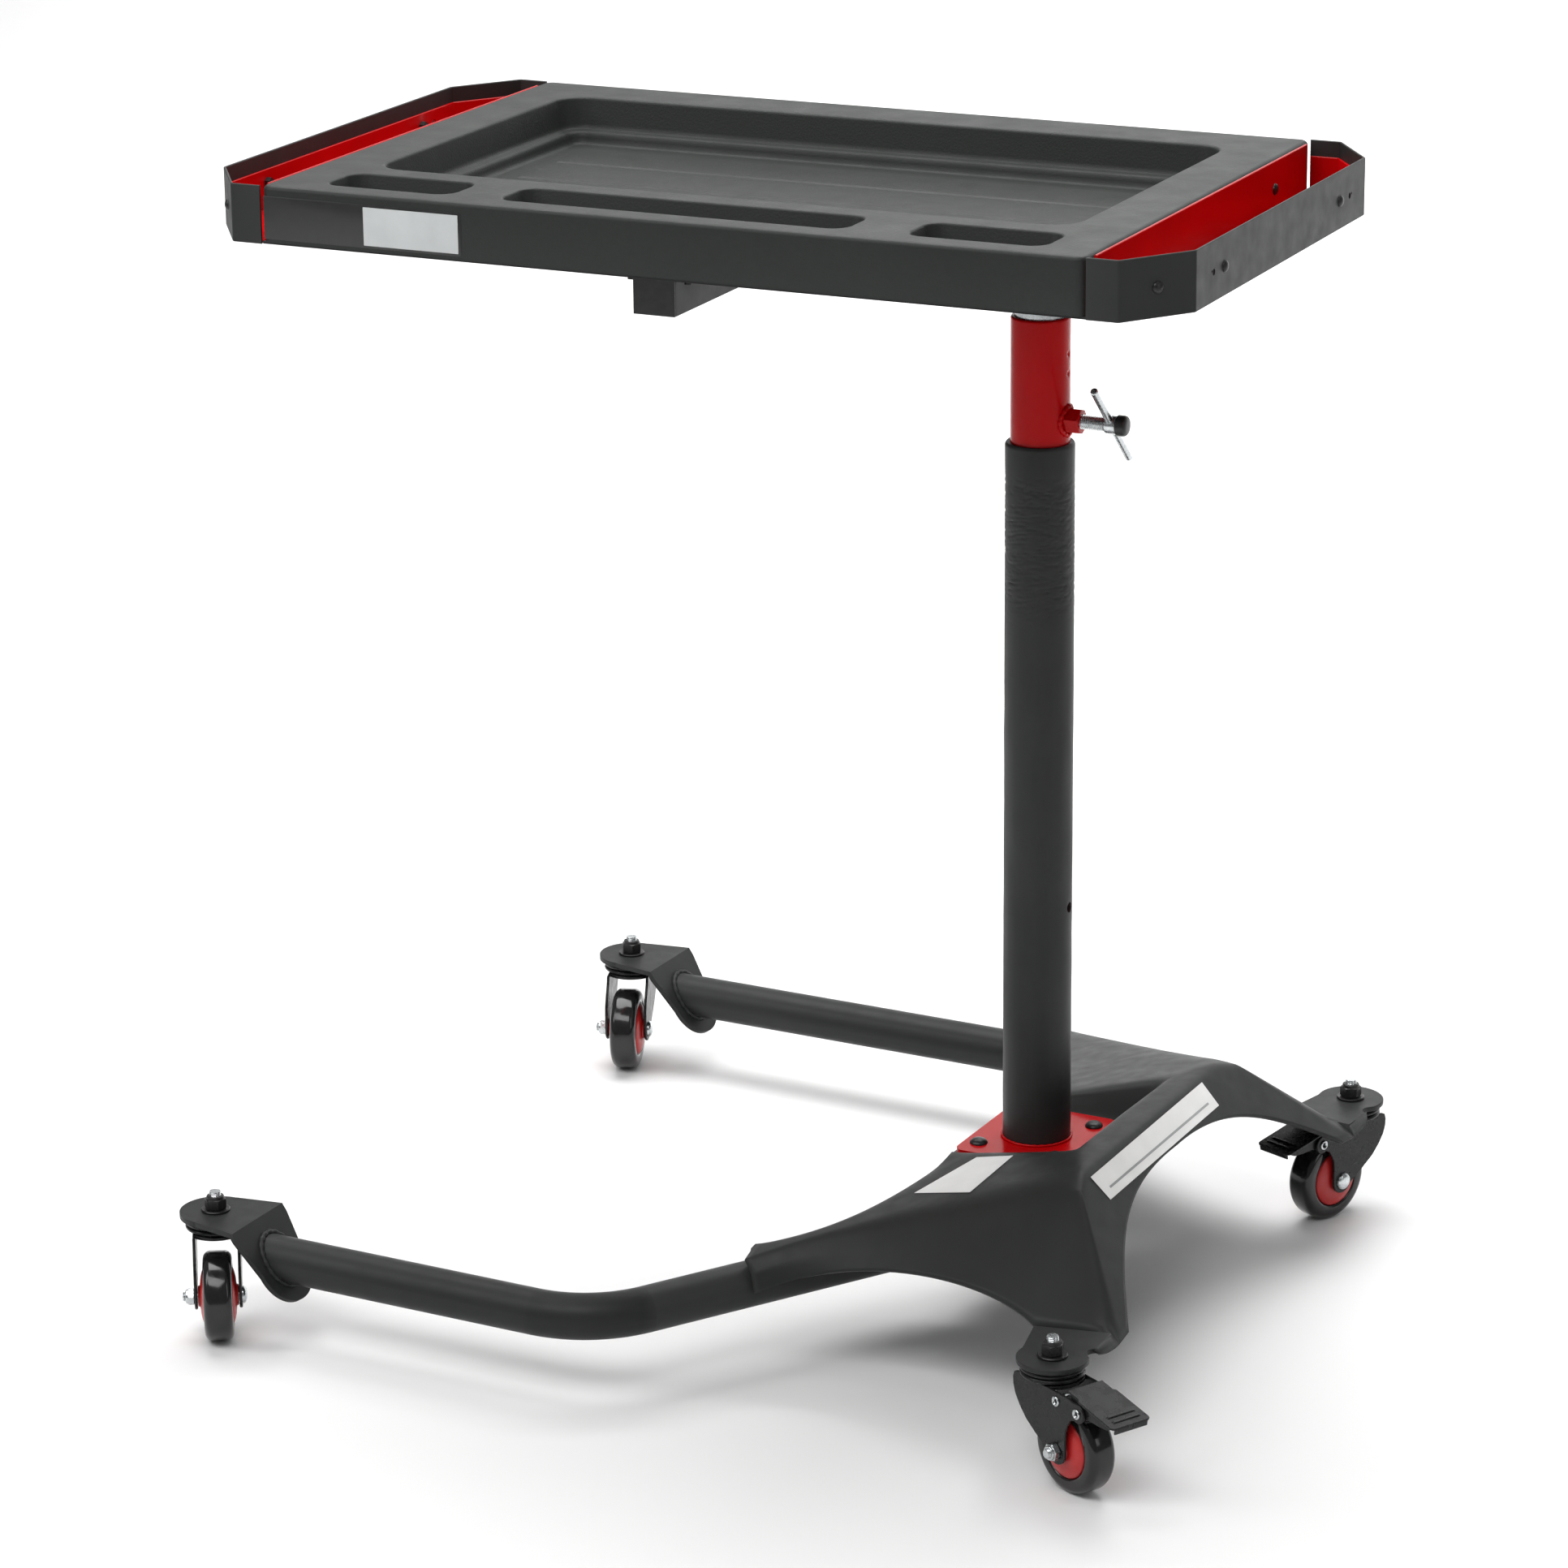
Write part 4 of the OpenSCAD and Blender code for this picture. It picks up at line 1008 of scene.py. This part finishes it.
def make_post():
    low, high = node_box("mast_post")

    def radius(angle, z):
        across = POST_RADIUS * ((angle + math.pi) % math.tau - math.pi)
        dent = 0
        for height in DIMPLES:
            share = math.hypot(across, z - height) / DIMPLE_RADIUS
            dent += 1.3 * (1 + math.cos(math.pi * min(1, share))) / 2
        edge = max(0, z - (high[2] - 1.0), low[2] + 1.0 - z)
        return POST_RADIUS - dent - 0.7 * edge * edge

    bm = bmesh.new()
    round_surface(bm, radius, low[2], high[2], 660, 144, POST_BORE)
    whole("mast_post", "tube", bm, 60, weighted=False)


CREASE_LOW = 590
CREASE_HIGH = 722
SLEEVE_HOLE_Z = 352


def make_sleeve():
    """Soft sleeve: creased near the top, slightly uneven, with a rolled upper edge."""
    low, high = node_box("mast_sleeve")
    outer = (high[1] - low[1]) / 2

    def radius(angle, z):
        place = Vector((math.cos(angle) * 2.2, math.sin(angle) * 2.2, z * 0.055))
        wave = 0.30 * (noise.noise(place * 0.6) + 0.5)
        inside = min(max((z - CREASE_LOW) / 30, 0), max((CREASE_HIGH - z) / 14, 0), 1)
        tilt = z + 3 * math.sin(angle * 2 + z * 0.03)
        fine = Vector((math.cos(angle) * 1.3, math.sin(angle) * 1.3, tilt * 0.42))
        folds = (1 - abs(noise.noise(fine)) * 2.4) ** 3 if inside else 0
        edge = max(0, z - (high[2] - 2.4)) / 2.4
        foot = max(0, (low[2] + 2.0) - z) / 2.0
        return outer - 0.25 - wave * 0.8 - 0.55 * inside * max(0, folds) - 1.3 * edge ** 2 - foot ** 2

    bm = bmesh.new()
    round_surface(bm, radius, low[2], high[2], 520, 128, POST_RADIUS + 0.1)
    obj = whole("mast_sleeve", "skin", bm, 60, weighted=False)
    cutter = bmesh.new()
    bar(cutter, (POST_RADIUS - 3, 0, SLEEVE_HOLE_Z), (outer + 5, 0, SLEEVE_HOLE_Z), 4.5)
    cut(obj, cutter, "sleeve_cutter")


def weld_bead(name, like, points, radius, matrix=None):
    """A lumpy bead round a closed path, in the overlapping scales that a weld leaves."""
    bm = bmesh.new()
    n = len(points)
    loops = []
    for i, p in enumerate(points):
        p = Vector(p)
        along = (Vector(points[(i + 1) % n]) - Vector(points[i - 1])).normalized()
        side = along.orthogonal().normalized()
        up = along.cross(side)
        size = radius * (1 + 0.16 * math.sin(i * 1.9) + 0.22 * noise.noise(p * 0.35))
        loops.append([p + (side * math.cos(a) + up * math.sin(a)) * size
                      for a in (math.tau * k / 10 for k in range(10))])
    aligned = [loops[0]]
    for loop in loops[1:] + loops[:1]:
        shift = min(range(10), key=lambda s: (loop[s] - aligned[-1][0]).length)
        aligned.append(loop[shift:] + loop[:shift])
    rings(bm, aligned)
    piece(name, bm, like, smooth_angle=80, matrix=matrix, weighted=False)


# ---------------------------------------------------------------- fasteners


def hex_body(bm, across_flats, z0, z1, bore, chamfer_low=True):
    """A bored hexagon with its corners turned down, as nuts have."""
    count = 48
    turn = math.radians(15)

    def ring(z, limit):
        points = []
        for i in range(count):
            a = math.tau * i / count
            flat = across_flats / 2 / math.cos((a % (math.tau / 6)) - math.tau / 12)
            r = min(flat, limit)
            points.append((r * math.cos(a + turn), r * math.sin(a + turn), z))
        return points

    full = across_flats
    round_off = across_flats / 2 * 0.97
    middle = (round_off + across_flats * 0.577) / 2
    rise = (across_flats / 2 / math.cos(math.radians(30)) - round_off) * math.tan(math.radians(30))
    loops = [ring(z0, full)]
    if chamfer_low:
        loops = [ring(z0, round_off), ring(z0 + rise / 2, middle), ring(z0 + rise, full)]
    loops += [ring(z1 - rise, full), ring(z1 - rise / 2, middle), ring(z1, round_off)]
    loops += [circle(bore, z1, count, turn), circle(bore, z0, count, turn)]
    rings(bm, loops, tube=True)


def threaded(bm, radius, pitch, z0, z1, depth, tip):
    """A threaded rod along Z: the radius follows a helix, and fades out over its tip."""

    def groove(angle, z):
        fade = min(1, (z1 - z) / tip) if tip else 1
        wave = (1 + math.cos(math.tau * (z / pitch) - angle)) / 2
        return min(radius - depth * wave ** 0.8, radius - depth * 0.9 * (1 - fade))

    round_surface(bm, groove, z0, z1, max(8, int((z1 - z0) / pitch * 9)), 40)


WASHER_RADIUS = 12
NUT_FLATS = 16
NUT_HEIGHT = 9
STEM_TOP = 118.5


def make_stem_nut(corner):
    """Washer and nut with a nylon collar, on the zinc tip of the caster's stem."""
    at = caster_frame(corner) @ Matrix.Translation((0, 0, EAR_TOP))
    node = "stem_nuts"
    bm = bmesh.new()
    lathe(bm, [(5.3, 0), (WASHER_RADIUS - 0.5, 0), (WASHER_RADIUS, 0.5), (WASHER_RADIUS, 1.4),
               (WASHER_RADIUS - 0.6, 2), (5.3, 2)])
    hex_body(bm, NUT_FLATS, 2, 2 + NUT_HEIGHT, 5.1)
    lathe(bm, [(5.1, 2 + NUT_HEIGHT - 1), (7.3, 2 + NUT_HEIGHT - 1), (7.2, 2 + NUT_HEIGHT + 1.2)]
          + arc(6.2, 2 + NUT_HEIGHT + 1.4, 1.0, 0, 90, 4) + [(5.1, 2 + NUT_HEIGHT + 2.4)])
    replaced = (node,) if corner == "fl" else ()
    piece("stem_nut_" + corner, bm, node, replaced, matrix=at, smooth_angle=35)


def make_stem(corner):
    """Bearing race, kingpin and threaded stem of one caster."""
    node = f"caster_{corner}_stem"
    bm = bmesh.new()
    lathe(bm, [(0, 92.3), (24.2, 92.3)] + arc(23.9, 93.8, 1.9, -80, 60, 7)
          + [(24.4, 96.2), (23.6, 97), (0, 97)])
    threaded(bm, 5.0, 1.5, 97, STEM_TOP, 0.55, tip=1.2)
    lathe(bm, [(0, 79.5), (8.6, 79.5), (9.5, 80.4), (9.5, 83.6), (6, 83.7), (6, 92.5), (0, 92.5)])
    obj = whole(node, "finished", bm, 35, caster_frame(corner))
    obj.data.materials.append(FINISH["caster_black"])
    for p in obj.data.polygons:
        below_ear = obj.data.vertices[p.vertices[0]].co.z < EAR_LOW * MM + 1e-4
        p.material_index = 1 if below_ear else 0


# ---------------------------------------------------------------- casters

WHEEL_RADIUS = 37.5
TREAD = 24
TREAD_ROUND = 6.5
HUB_RADIUS = 24.4
HUB_HALF = 16.7
AXLE_REACH = 19.7


def wheel_frame(corner):
    """Millimetres: Z is the axle, and the wheel's centre is at 0, 0, 0."""
    low, high = node_box(f"caster_{corner}_tyre")
    centre = [(a + b) / 2 for a, b in zip(low, high)]
    trail = caster_frame(corner).to_3x3() @ Vector((1, 0, 0))
    heading = Matrix.Rotation(math.atan2(trail.y, trail.x), 4, "Z")
    return Matrix.Translation(centre) @ heading @ Matrix.Rotation(math.pi / 2, 4, "X")


def make_wheel(corner):
    at = wheel_frame(corner)
    half = TREAD / 2
    shoulder = WHEEL_RADIUS - TREAD_ROUND
    profile = [(HUB_RADIUS + 0.1, half - 1.6), (HUB_RADIUS + 0.1, 1.6 - half),
               (HUB_RADIUS + 1.4, 0.2 - half), (HUB_RADIUS + 2.8, -half)]
    profile += arc(shoulder, TREAD_ROUND - half, TREAD_ROUND, -90, -8, 8)
    profile += arc(shoulder, half - TREAD_ROUND, TREAD_ROUND, 8, 90, 8)
    profile += [(HUB_RADIUS + 2.8, half), (HUB_RADIUS + 1.4, half - 0.2)]
    turned(f"caster_{corner}_tyre", "moulded", profile, 128, 60, at, weighted=False)
    side = [(8.0, HUB_HALF), (8.7, HUB_HALF - 0.5), (9.0, HUB_HALF - 1.5), (11, HUB_HALF - 1.8),
            (15, HUB_HALF - 2.2), (19, HUB_HALF - 3.0), (22, HUB_HALF - 4.0),
            (23.6, HUB_HALF - 4.9), (24.2, HUB_HALF - 5.7), (HUB_RADIUS, HUB_HALF - 6.6)]
    hub = [(4.1, HUB_HALF)] + side + [(r, -h) for r, h in side[::-1]] + [(4.1, -HUB_HALF)]
    turned(f"caster_{corner}_hub", "moulded", hub, 96, 35, at, weighted=False)


def make_axle(corner):
    """Domed head on one side, nut with a nylon collar and the thread's tip on the other."""
    bm = bmesh.new()
    lathe(bm, [(0, -AXLE_REACH - 1), (4, -AXLE_REACH - 1), (4, AXLE_REACH + 1), (0, AXLE_REACH + 1)])
    dome = [(0, -AXLE_REACH), (7.5, -AXLE_REACH), (7.5, -AXLE_REACH - 1.0), (7.1, -AXLE_REACH - 2.0),
            (6.0, -AXLE_REACH - 2.9), (4.2, -AXLE_REACH - 3.5), (2.2, -AXLE_REACH - 3.85),
            (0, -AXLE_REACH - 3.95)]
    lathe(bm, dome, 48)
    nut = bmesh.new()
    hex_body(nut, 13, AXLE_REACH + 0.2, AXLE_REACH + 5.6, 4.05)
    lathe(nut, [(4.05, AXLE_REACH + 5), (6.0, AXLE_REACH + 5), (5.9, AXLE_REACH + 6.6)]
          + arc(5.0, AXLE_REACH + 6.6, 0.8, 0, 90, 4) + [(4.05, AXLE_REACH + 7.4)])
    threaded(nut, 4.0, 1.25, AXLE_REACH + 3, AXLE_REACH + 9.6, 0.45, tip=1.0)
    join(bm, nut)
    whole(f"caster_{corner}_axle", "finished", bm, 35, wheel_frame(corner))


FORK_IN = 17.2
FORK_SHEET = 2.5
CROWN_Z = 84
TRAIL = 29.7
BOSS = 11
PIN_A = (30, 79.6)
PIN_B = (55.5, 78)


def plate_across(bm, outline, y0, y1, edge):
    """A plate whose outline is drawn as (distance behind the stem, height), standing across Y."""
    start = len(bm.verts)
    flat_plate(bm, outline, -y1, -y0, edge)
    turn = Matrix.Rotation(math.pi / 2, 4, "X")
    bm.verts.ensure_lookup_table()
    bmesh.ops.transform(bm, matrix=turn, verts=bm.verts[start:])


def fork_outline(braked):
    """Side plate: curved front edge, round boss at the axle, and a shoulder for the brake pins."""
    front = [(-20, CROWN_Z + 3), (-23.5, 85.4), (-25, 81), (-24.6, 75), (-22, 67.5), (-16.5, 59.5),
             (-8, 50.8), (4, 42.8), (14, 37)]
    boss = arc(TRAIL, WHEEL_RADIUS, BOSS, 205, 360, 14)
    if braked:
        back = [(TRAIL + BOSS, 52), (TRAIL + BOSS + 0.6, 58), (TRAIL + BOSS + 3, 63.5), (47, 68.8)]
        back += arc(PIN_B[0], PIN_B[1], 8, -120, 80, 12)
        back += [(50, CROWN_Z + 1.4), (44, CROWN_Z + 3)]
    else:
        back = [(TRAIL + BOSS, 52), (TRAIL + BOSS - 0.8, 60), (TRAIL + BOSS - 4.5, 68), (31, 76),
                (27, 82), (26, CROWN_Z + 3)]
    return front + boss + back


def make_fork(corner, braked):
    bm = bmesh.new()
    for y in (-FORK_IN - FORK_SHEET, FORK_IN):
        plate_across(bm, fork_outline(braked), y, y + FORK_SHEET, 0.6)
    crown = arc(0, 0, 26, -49, 49, 14) + arc(0, 0, 26, 131, 229, 14)
    flat_plate(bm, crown, CROWN_Z, CROWN_Z + 3, 0.5)
    lathe(bm, [(6.1, 86.6), (22.6, 86.6), (23.6, 87.0)] + arc(23.8, 89.3, 1.9, -75, 75, 7)
          + [(23.4, 91.7), (6.1, 91.7)])
    if braked:
        for y in (-AXLE_REACH - 0.05, AXLE_REACH - 0.25):
            lathe_at(bm, [(0, 0), (1.4, 0), (1.4, 0.3), (0, 0.3)], 43, y, 79.5)
    whole(f"caster_{corner}_fork", "finished", bm, 50, caster_frame(corner))


def lathe_at(bm, profile, x, y, z, flip=False):
    """A turned shape that stands along Y at a place in the caster's frame."""
    start = len(bm.verts)
    lathe(bm, profile, 32)
    turn = Matrix.Rotation(math.pi / 2 if flip else -math.pi / 2, 4, "X")
    bm.verts.ensure_lookup_table()
    bmesh.ops.transform(bm, matrix=Matrix.Translation((x, y, z)) @ turn, verts=bm.verts[start:])


def make_brake_pins(corner):
    """Hollow rivets with rolled ends."""
    bm = bmesh.new()
    for x, z in (PIN_A, PIN_B):
        lathe_at(bm, [(1.9, -AXLE_REACH), (3, -AXLE_REACH), (3, AXLE_REACH), (1.9, AXLE_REACH)],
                 x, 0, z)
        for side in (-1, 1):
            rolled = [(1.9, -0.5), (3.9, 0)] + arc(3.3, 0.7, 0.85, -40, 130, 7) + [(1.9, 0.5)]
            lathe_at(bm, rolled, x, side * AXLE_REACH, z, flip=side < 0)
    whole(f"caster_{corner}_pins", "finished", bm, 40, caster_frame(corner))


PEDAL_START = (40, 89.5)
PEDAL_TILT = math.radians(10.5)
PEDAL_SHEET = 2
PEDAL_LENGTH = 59
PEDAL_STEP = 15


def make_pedal(corner):
    """Tread plate with two ridges, turned-down tip and side flanges with pin eyes."""
    bm = bmesh.new()
    end = PEDAL_LENGTH
    tread = rounded_outline([(PEDAL_STEP - 1.5, -16.9, 0), (PEDAL_STEP + 1, -19, 1), (end, -19, 4.5),
                             (end, 19, 4.5), (PEDAL_STEP + 1, 19, 1), (PEDAL_STEP - 1.5, 16.9, 0)])
    tread += [(0, 16.9), (0, -16.9)]
    flat_plate(bm, tread, 0, PEDAL_SHEET, 0.5)
    for x in (end - 16, end - 9):
        pedal_ridge(bm, x, x + 3.2, 13.5, PEDAL_SHEET, 1.0)
    tip = [Vector((end, -15.5)), Vector((end, 15.5))]
    upright_sheet(bm, tip, 1.6, -4, PEDAL_SHEET - 0.6, 0.4)
    turn = Matrix.Rotation(PEDAL_TILT, 4, "Y")
    lift = Matrix.Translation((PEDAL_START[0], 0, PEDAL_START[1]))
    bmesh.ops.transform(bm, matrix=lift @ turn, verts=bm.verts)

    def on_pedal(u, w):
        return (PEDAL_START[0] + u * math.cos(PEDAL_TILT) + w * math.sin(PEDAL_TILT),
                PEDAL_START[1] + w * math.cos(PEDAL_TILT) - u * math.sin(PEDAL_TILT))

    flange = [on_pedal(55, 1.2), on_pedal(3, 1.2), on_pedal(5, -5)]
    flange += arc(PIN_B[0], PIN_B[1], 7.2, 190, 318, 10)
    flange += [on_pedal(28, -9), on_pedal(40, -7.2), on_pedal(50, -4.6), on_pedal(54, -2)]
    for y in (-16.7, 16.7 - PEDAL_SHEET):
        plate_across(bm, flange, y, y + PEDAL_SHEET, 0.4)
    whole(f"caster_{corner}_pedal", "finished", bm, 50, caster_frame(corner))


def pedal_ridge(bm, x0, x1, half, z, height):
    """A low rounded ridge across the pedal."""
    profile = [(x0, z - 0.3), (x0 + 0.3, z + height * 0.5), (x0 + 0.9, z + height),
               (x1 - 0.9, z + height), (x1 - 0.3, z + height * 0.5), (x1, z - 0.3)]
    loops = []
    for y, share in ((-half, 0.2), (-half + 0.8, 0.85), (-half + 2, 1), (half - 2, 1),
                     (half - 0.8, 0.85), (half, 0.2)):
        loops.append([(x, y, z - 0.3 + (h - z + 0.3) * share) for x, h in profile])
    rings(bm, loops, cap_start=True, cap_end=True)


# ---------------------------------------------------------------- clamp

CLAMP_Z = JOINT["screw_turn"]["pos_m"][2] / MM
SCREW_RADIUS = 6
SCREW_START = 24.5
HEAD_START = 56
HEAD_END = 66
CAP_END = 75
BAR_AT = 61
BAR_LENGTH = 106
BAR_TILT = math.radians(47)
CLAMP_WELD = 11.4
ALONG_X = Matrix.Translation((0, 0, CLAMP_Z)) @ Matrix.Rotation(math.pi / 2, 4, "Y")


def make_clamp():
    bm = bmesh.new()
    threaded(bm, SCREW_RADIUS, 1.75, SCREW_START, HEAD_START + 0.5, 0.95, tip=0)
    lathe(bm, [(0, HEAD_START), (6.4, HEAD_START), (7.5, HEAD_START + 1.2), (7.5, HEAD_END - 0.6),
               (6.9, HEAD_END), (0, HEAD_END)], 48)
    whole("clamp_screw", "threaded", bm, 50, ALONG_X)
    cap = [(0, HEAD_END), (8.0, HEAD_END), (8.5, HEAD_END + 0.7), (8.4, CAP_END - 3.2),
           (7.9, CAP_END - 1.6), (6.6, CAP_END - 0.5), (4.0, CAP_END - 0.05), (0, CAP_END)]
    turned("clamp_cap", "moulded", cap, 48, 60, ALONG_X)
    half = BAR_LENGTH / 2
    end = [(0, half), (2.4, half), (3.1, half - 0.7), (3.25, half - 2)]
    tilt = Matrix.Translation((BAR_AT, 0, CLAMP_Z)) @ Matrix.Rotation(BAR_TILT, 4, "X")
    turned("tommy_bar", "turned", [(r, -z) for r, z in end] + end[::-1], 40, 50, tilt)
    bm = bmesh.new()
    hex_body(bm, 19, 20.5, 36, SCREW_RADIUS + 0.1, chamfer_low=False)
    whole("clamp_nut", "finished", bm, 35, ALONG_X)
    around = []
    for i in range(56):
        a = math.tau * i / 56
        y, z = CLAMP_WELD * math.cos(a), CLAMP_WELD * math.sin(a)
        around.append((math.sqrt(POST_RADIUS ** 2 - y * y) + 0.3, y, CLAMP_Z + z))
    weld_bead("clamp_nut_weld", "clamp_nut", around, 2.1)


# ---------------------------------------------------------------- welds on the base

LEG_Y = 350
LEG_Z = 70
LEG_RADIUS = 19
FOLD_X = -545
FOLD_SLOPE = math.radians(55.9)


def make_leg_welds():
    for side, name in ((-1, "front"), (1, "rear")):
        ring = []
        for i in range(64):
            a = math.tau * i / 64
            z = LEG_Z + (LEG_RADIUS + 0.8) * math.sin(a)
            down = (EAR_TOP - z) / math.sin(FOLD_SLOPE)
            ring.append((FOLD_X + down * math.cos(FOLD_SLOPE) + 0.6,
                         side * LEG_Y + (LEG_RADIUS + 0.8) * math.cos(a), z))
        weld_bead(f"leg_weld_{name}", f"leg_bracket_{name}", ring, 2.4, matrix=BASE)


def make_post_weld():
    weld_bead("post_weld", "mast_plate", circle(POST_RADIUS + 4.9, 148.9, 96), 1.1)


# ---------------------------------------------------------------- plain labels


def label(name, like, corners, normal, finish, lift, matrix=None):
    """A thin flat sticker with the given corners, standing just proud of the surface."""
    bm = bmesh.new()
    normal = Vector(normal).normalized()
    corners = [Vector(p) for p in corners]
    loops = [[p + normal * d for p in corners] for d in (lift - 0.25, lift)]
    middle = sum(corners, Vector()) / len(corners)
    loops.append([p + (middle - p).normalized() * 0.2 + normal * (lift + 0.06) for p in corners])
    rings(bm, loops, cap_start=True, cap_end=True)
    piece(name, bm, like, finish=finish, matrix=matrix, smooth_angle=30, weighted=False)


def make_skirt_badge():
    """Blank badge on the front skirt: a black field with a plain silver panel."""
    x0, x1 = tray_low[0] + 3, tray_low[0] + 180
    z0, z1 = tray_low[2] + 2.5, tray_high[2] - 8
    field = [(x0, z0, 1), (x1, z0, 4), (x1, z1, 4), (x0, z1, 1)]
    panel = [(x1 - 87, z0 + 2, 0.6), (x1 - 3, z0 + 2, 0.6), (x1 - 3, z1 - 2, 0.6),
             (x1 - 87, z1 - 2, 0.6)]
    for name, outline, vinyl_used, lift in (("badge_field", field, BLACK_VINYL, 0.12),
                                            ("badge_panel", panel, SILVER_VINYL, 0.30)):
        corners = [(x, tray_low[1], z) for x, z in rounded_outline(outline)]
        label(name, "tray", corners, (0, -1, 0), vinyl_used, lift)


def on_right_face(y, down):
    """A point on the sloping right face of the cover, some way down from its ridge."""
    slope = Vector((FACE_LEAN, 0, -1)).normalized()
    return Vector((RIDGE[0], y, RIDGE[2])) + slope * down


STRIP = ((-134, 7), (-130, 31), (92, 28), (92, 4))
STRIP_LINE = ((-120, 22), (-120, 24), (80, 22), (80, 20))
ARM_LABEL = ((-42, -143), (14, -155), (22, -91), (-14, -85))


def make_cover_labels():
    """A plain strip with one line along the right face, and a plain label on the front arm."""
    face = (1, 0, FACE_LEAN)
    label("cover_strip", "base_cover", [on_right_face(*p) for p in STRIP], face, WHITE_VINYL,
          0.5, BASE)
    label("cover_strip_line", "base_cover", [on_right_face(*p) for p in STRIP_LINE], face,
          GREY_VINYL, 0.66, BASE)
    upward = (-FRONT_ARM.slope[0], -FRONT_ARM.slope[1], 1)
    label("arm_label", "base_cover", [FRONT_ARM.top(p) for p in ARM_LABEL], upward, WHITE_VINYL,
          0.45, BASE)


# ---------------------------------------------------------------- everything

make_tray()
make_basin_bands()
for on_right in (False, True):
    make_rail(on_right)
    make_end_pan(on_right)
make_cover()
make_ears()
make_post()
make_sleeve()
for place in ("fl", "rl", "fr", "rr"):
    make_stem(place)
    make_stem_nut(place)
    make_wheel(place)
    make_axle(place)
    make_fork(place, place in ("fr", "rr"))
for place in ("fr", "rr"):
    make_brake_pins(place)
    make_pedal(place)
make_clamp()
make_leg_welds()
make_post_weld()
make_skirt_badge()
make_cover_labels()
for plain in ("leg_bracket_front", "leg_bracket_rear", "mast_plate", "column_head_plate",
              "support_beam", "cross_tube", "tube_caps", "mounting_plates", "table_pan"):
    softened(plain, 0.6)

# ---------------------------------------------------------------- floor, light and camera

CAMERA_PLACE = (1.542, -3.755, 1.770)
CAMERA_HEADING = math.radians(-25.25)
CAMERA_PITCH = math.radians(-17.95)
CAMERA_ROLL = math.radians(-0.60)
LENS = 120.2


def make_floor():
    """A pale floor that curves up into a pale wall far behind the table."""
    bm = bmesh.new()
    profile = [(-9, 0), (4, 0)] + arc(4, 2.5, 2.5, -90, 0, 16)[1:] + [(6.5, 9)]
    rings(bm, [[(x, y, z) for y, z in profile] for x in (-12, 12)], closed=False)
    mesh = bpy.data.meshes.new("studio_floor")
    bm.to_mesh(mesh)
    bm.free()
    mesh.materials.append(Look("pale_floor", (0.86, 0.86, 0.86), 0.7).mat)
    mesh.polygons.foreach_set("use_smooth", [True] * len(mesh.polygons))
    floor = bpy.data.objects.new("studio_floor", mesh)
    scene.collection.objects.link(floor)


def area_light(name, place, target, size, power):
    data = bpy.data.lights.new(name, "AREA")
    data.shape = "RECTANGLE"
    data.size, data.size_y = size
    data.energy = power
    light = bpy.data.objects.new(name, data)
    light.location = place
    light.rotation_mode = "QUATERNION"
    light.rotation_quaternion = (Vector(target) - Vector(place)).to_track_quat("-Z", "Y")
    scene.collection.objects.link(light)


def make_light():
    world = bpy.data.worlds.new("studio")
    world.use_nodes = True
    world.node_tree.nodes["Background"].inputs["Color"].default_value = (1, 1, 1, 1)
    world.node_tree.nodes["Background"].inputs["Strength"].default_value = 0.20
    scene.world = world
    middle = (-0.1, 0, 0.5)
    area_light("overhead", (-0.6, 0.9, 3.2), middle, (3.0, 2.2), 128)
    area_light("key", (-2.4, -2.0, 2.6), middle, (1.2, 1.8), 30)
    area_light("side", (3.0, -0.8, 1.8), middle, (0.8, 2.2), 9)
    area_light("front_floor", (-0.2, -2.6, 3.6), (-0.2, -1.4, 0), (3.0, 1.6), 78)
    area_light("backdrop", (0, 3.0, 3.4), (0, 5.6, 1.4), (7, 1.5), 330)


def make_camera():
    data = bpy.data.cameras.new("camera")
    data.lens = LENS
    data.sensor_width = 36
    camera = bpy.data.objects.new("camera", data)
    heading, pitch = CAMERA_HEADING, CAMERA_PITCH
    ahead = Vector((math.sin(heading) * math.cos(pitch), math.cos(heading) * math.cos(pitch),
                    math.sin(pitch)))
    level = Vector((math.cos(heading), -math.sin(heading), 0))
    above = level.cross(ahead)
    right = level * math.cos(CAMERA_ROLL) + above * math.sin(CAMERA_ROLL)
    up = above * math.cos(CAMERA_ROLL) - level * math.sin(CAMERA_ROLL)
    turn = Matrix((right, up, -ahead)).transposed().to_4x4()
    camera.matrix_world = Matrix.Translation(CAMERA_PLACE) @ turn
    scene.collection.objects.link(camera)
    scene.camera = camera


make_floor()
make_light()
make_camera()
scene.view_settings.view_transform = "Standard"
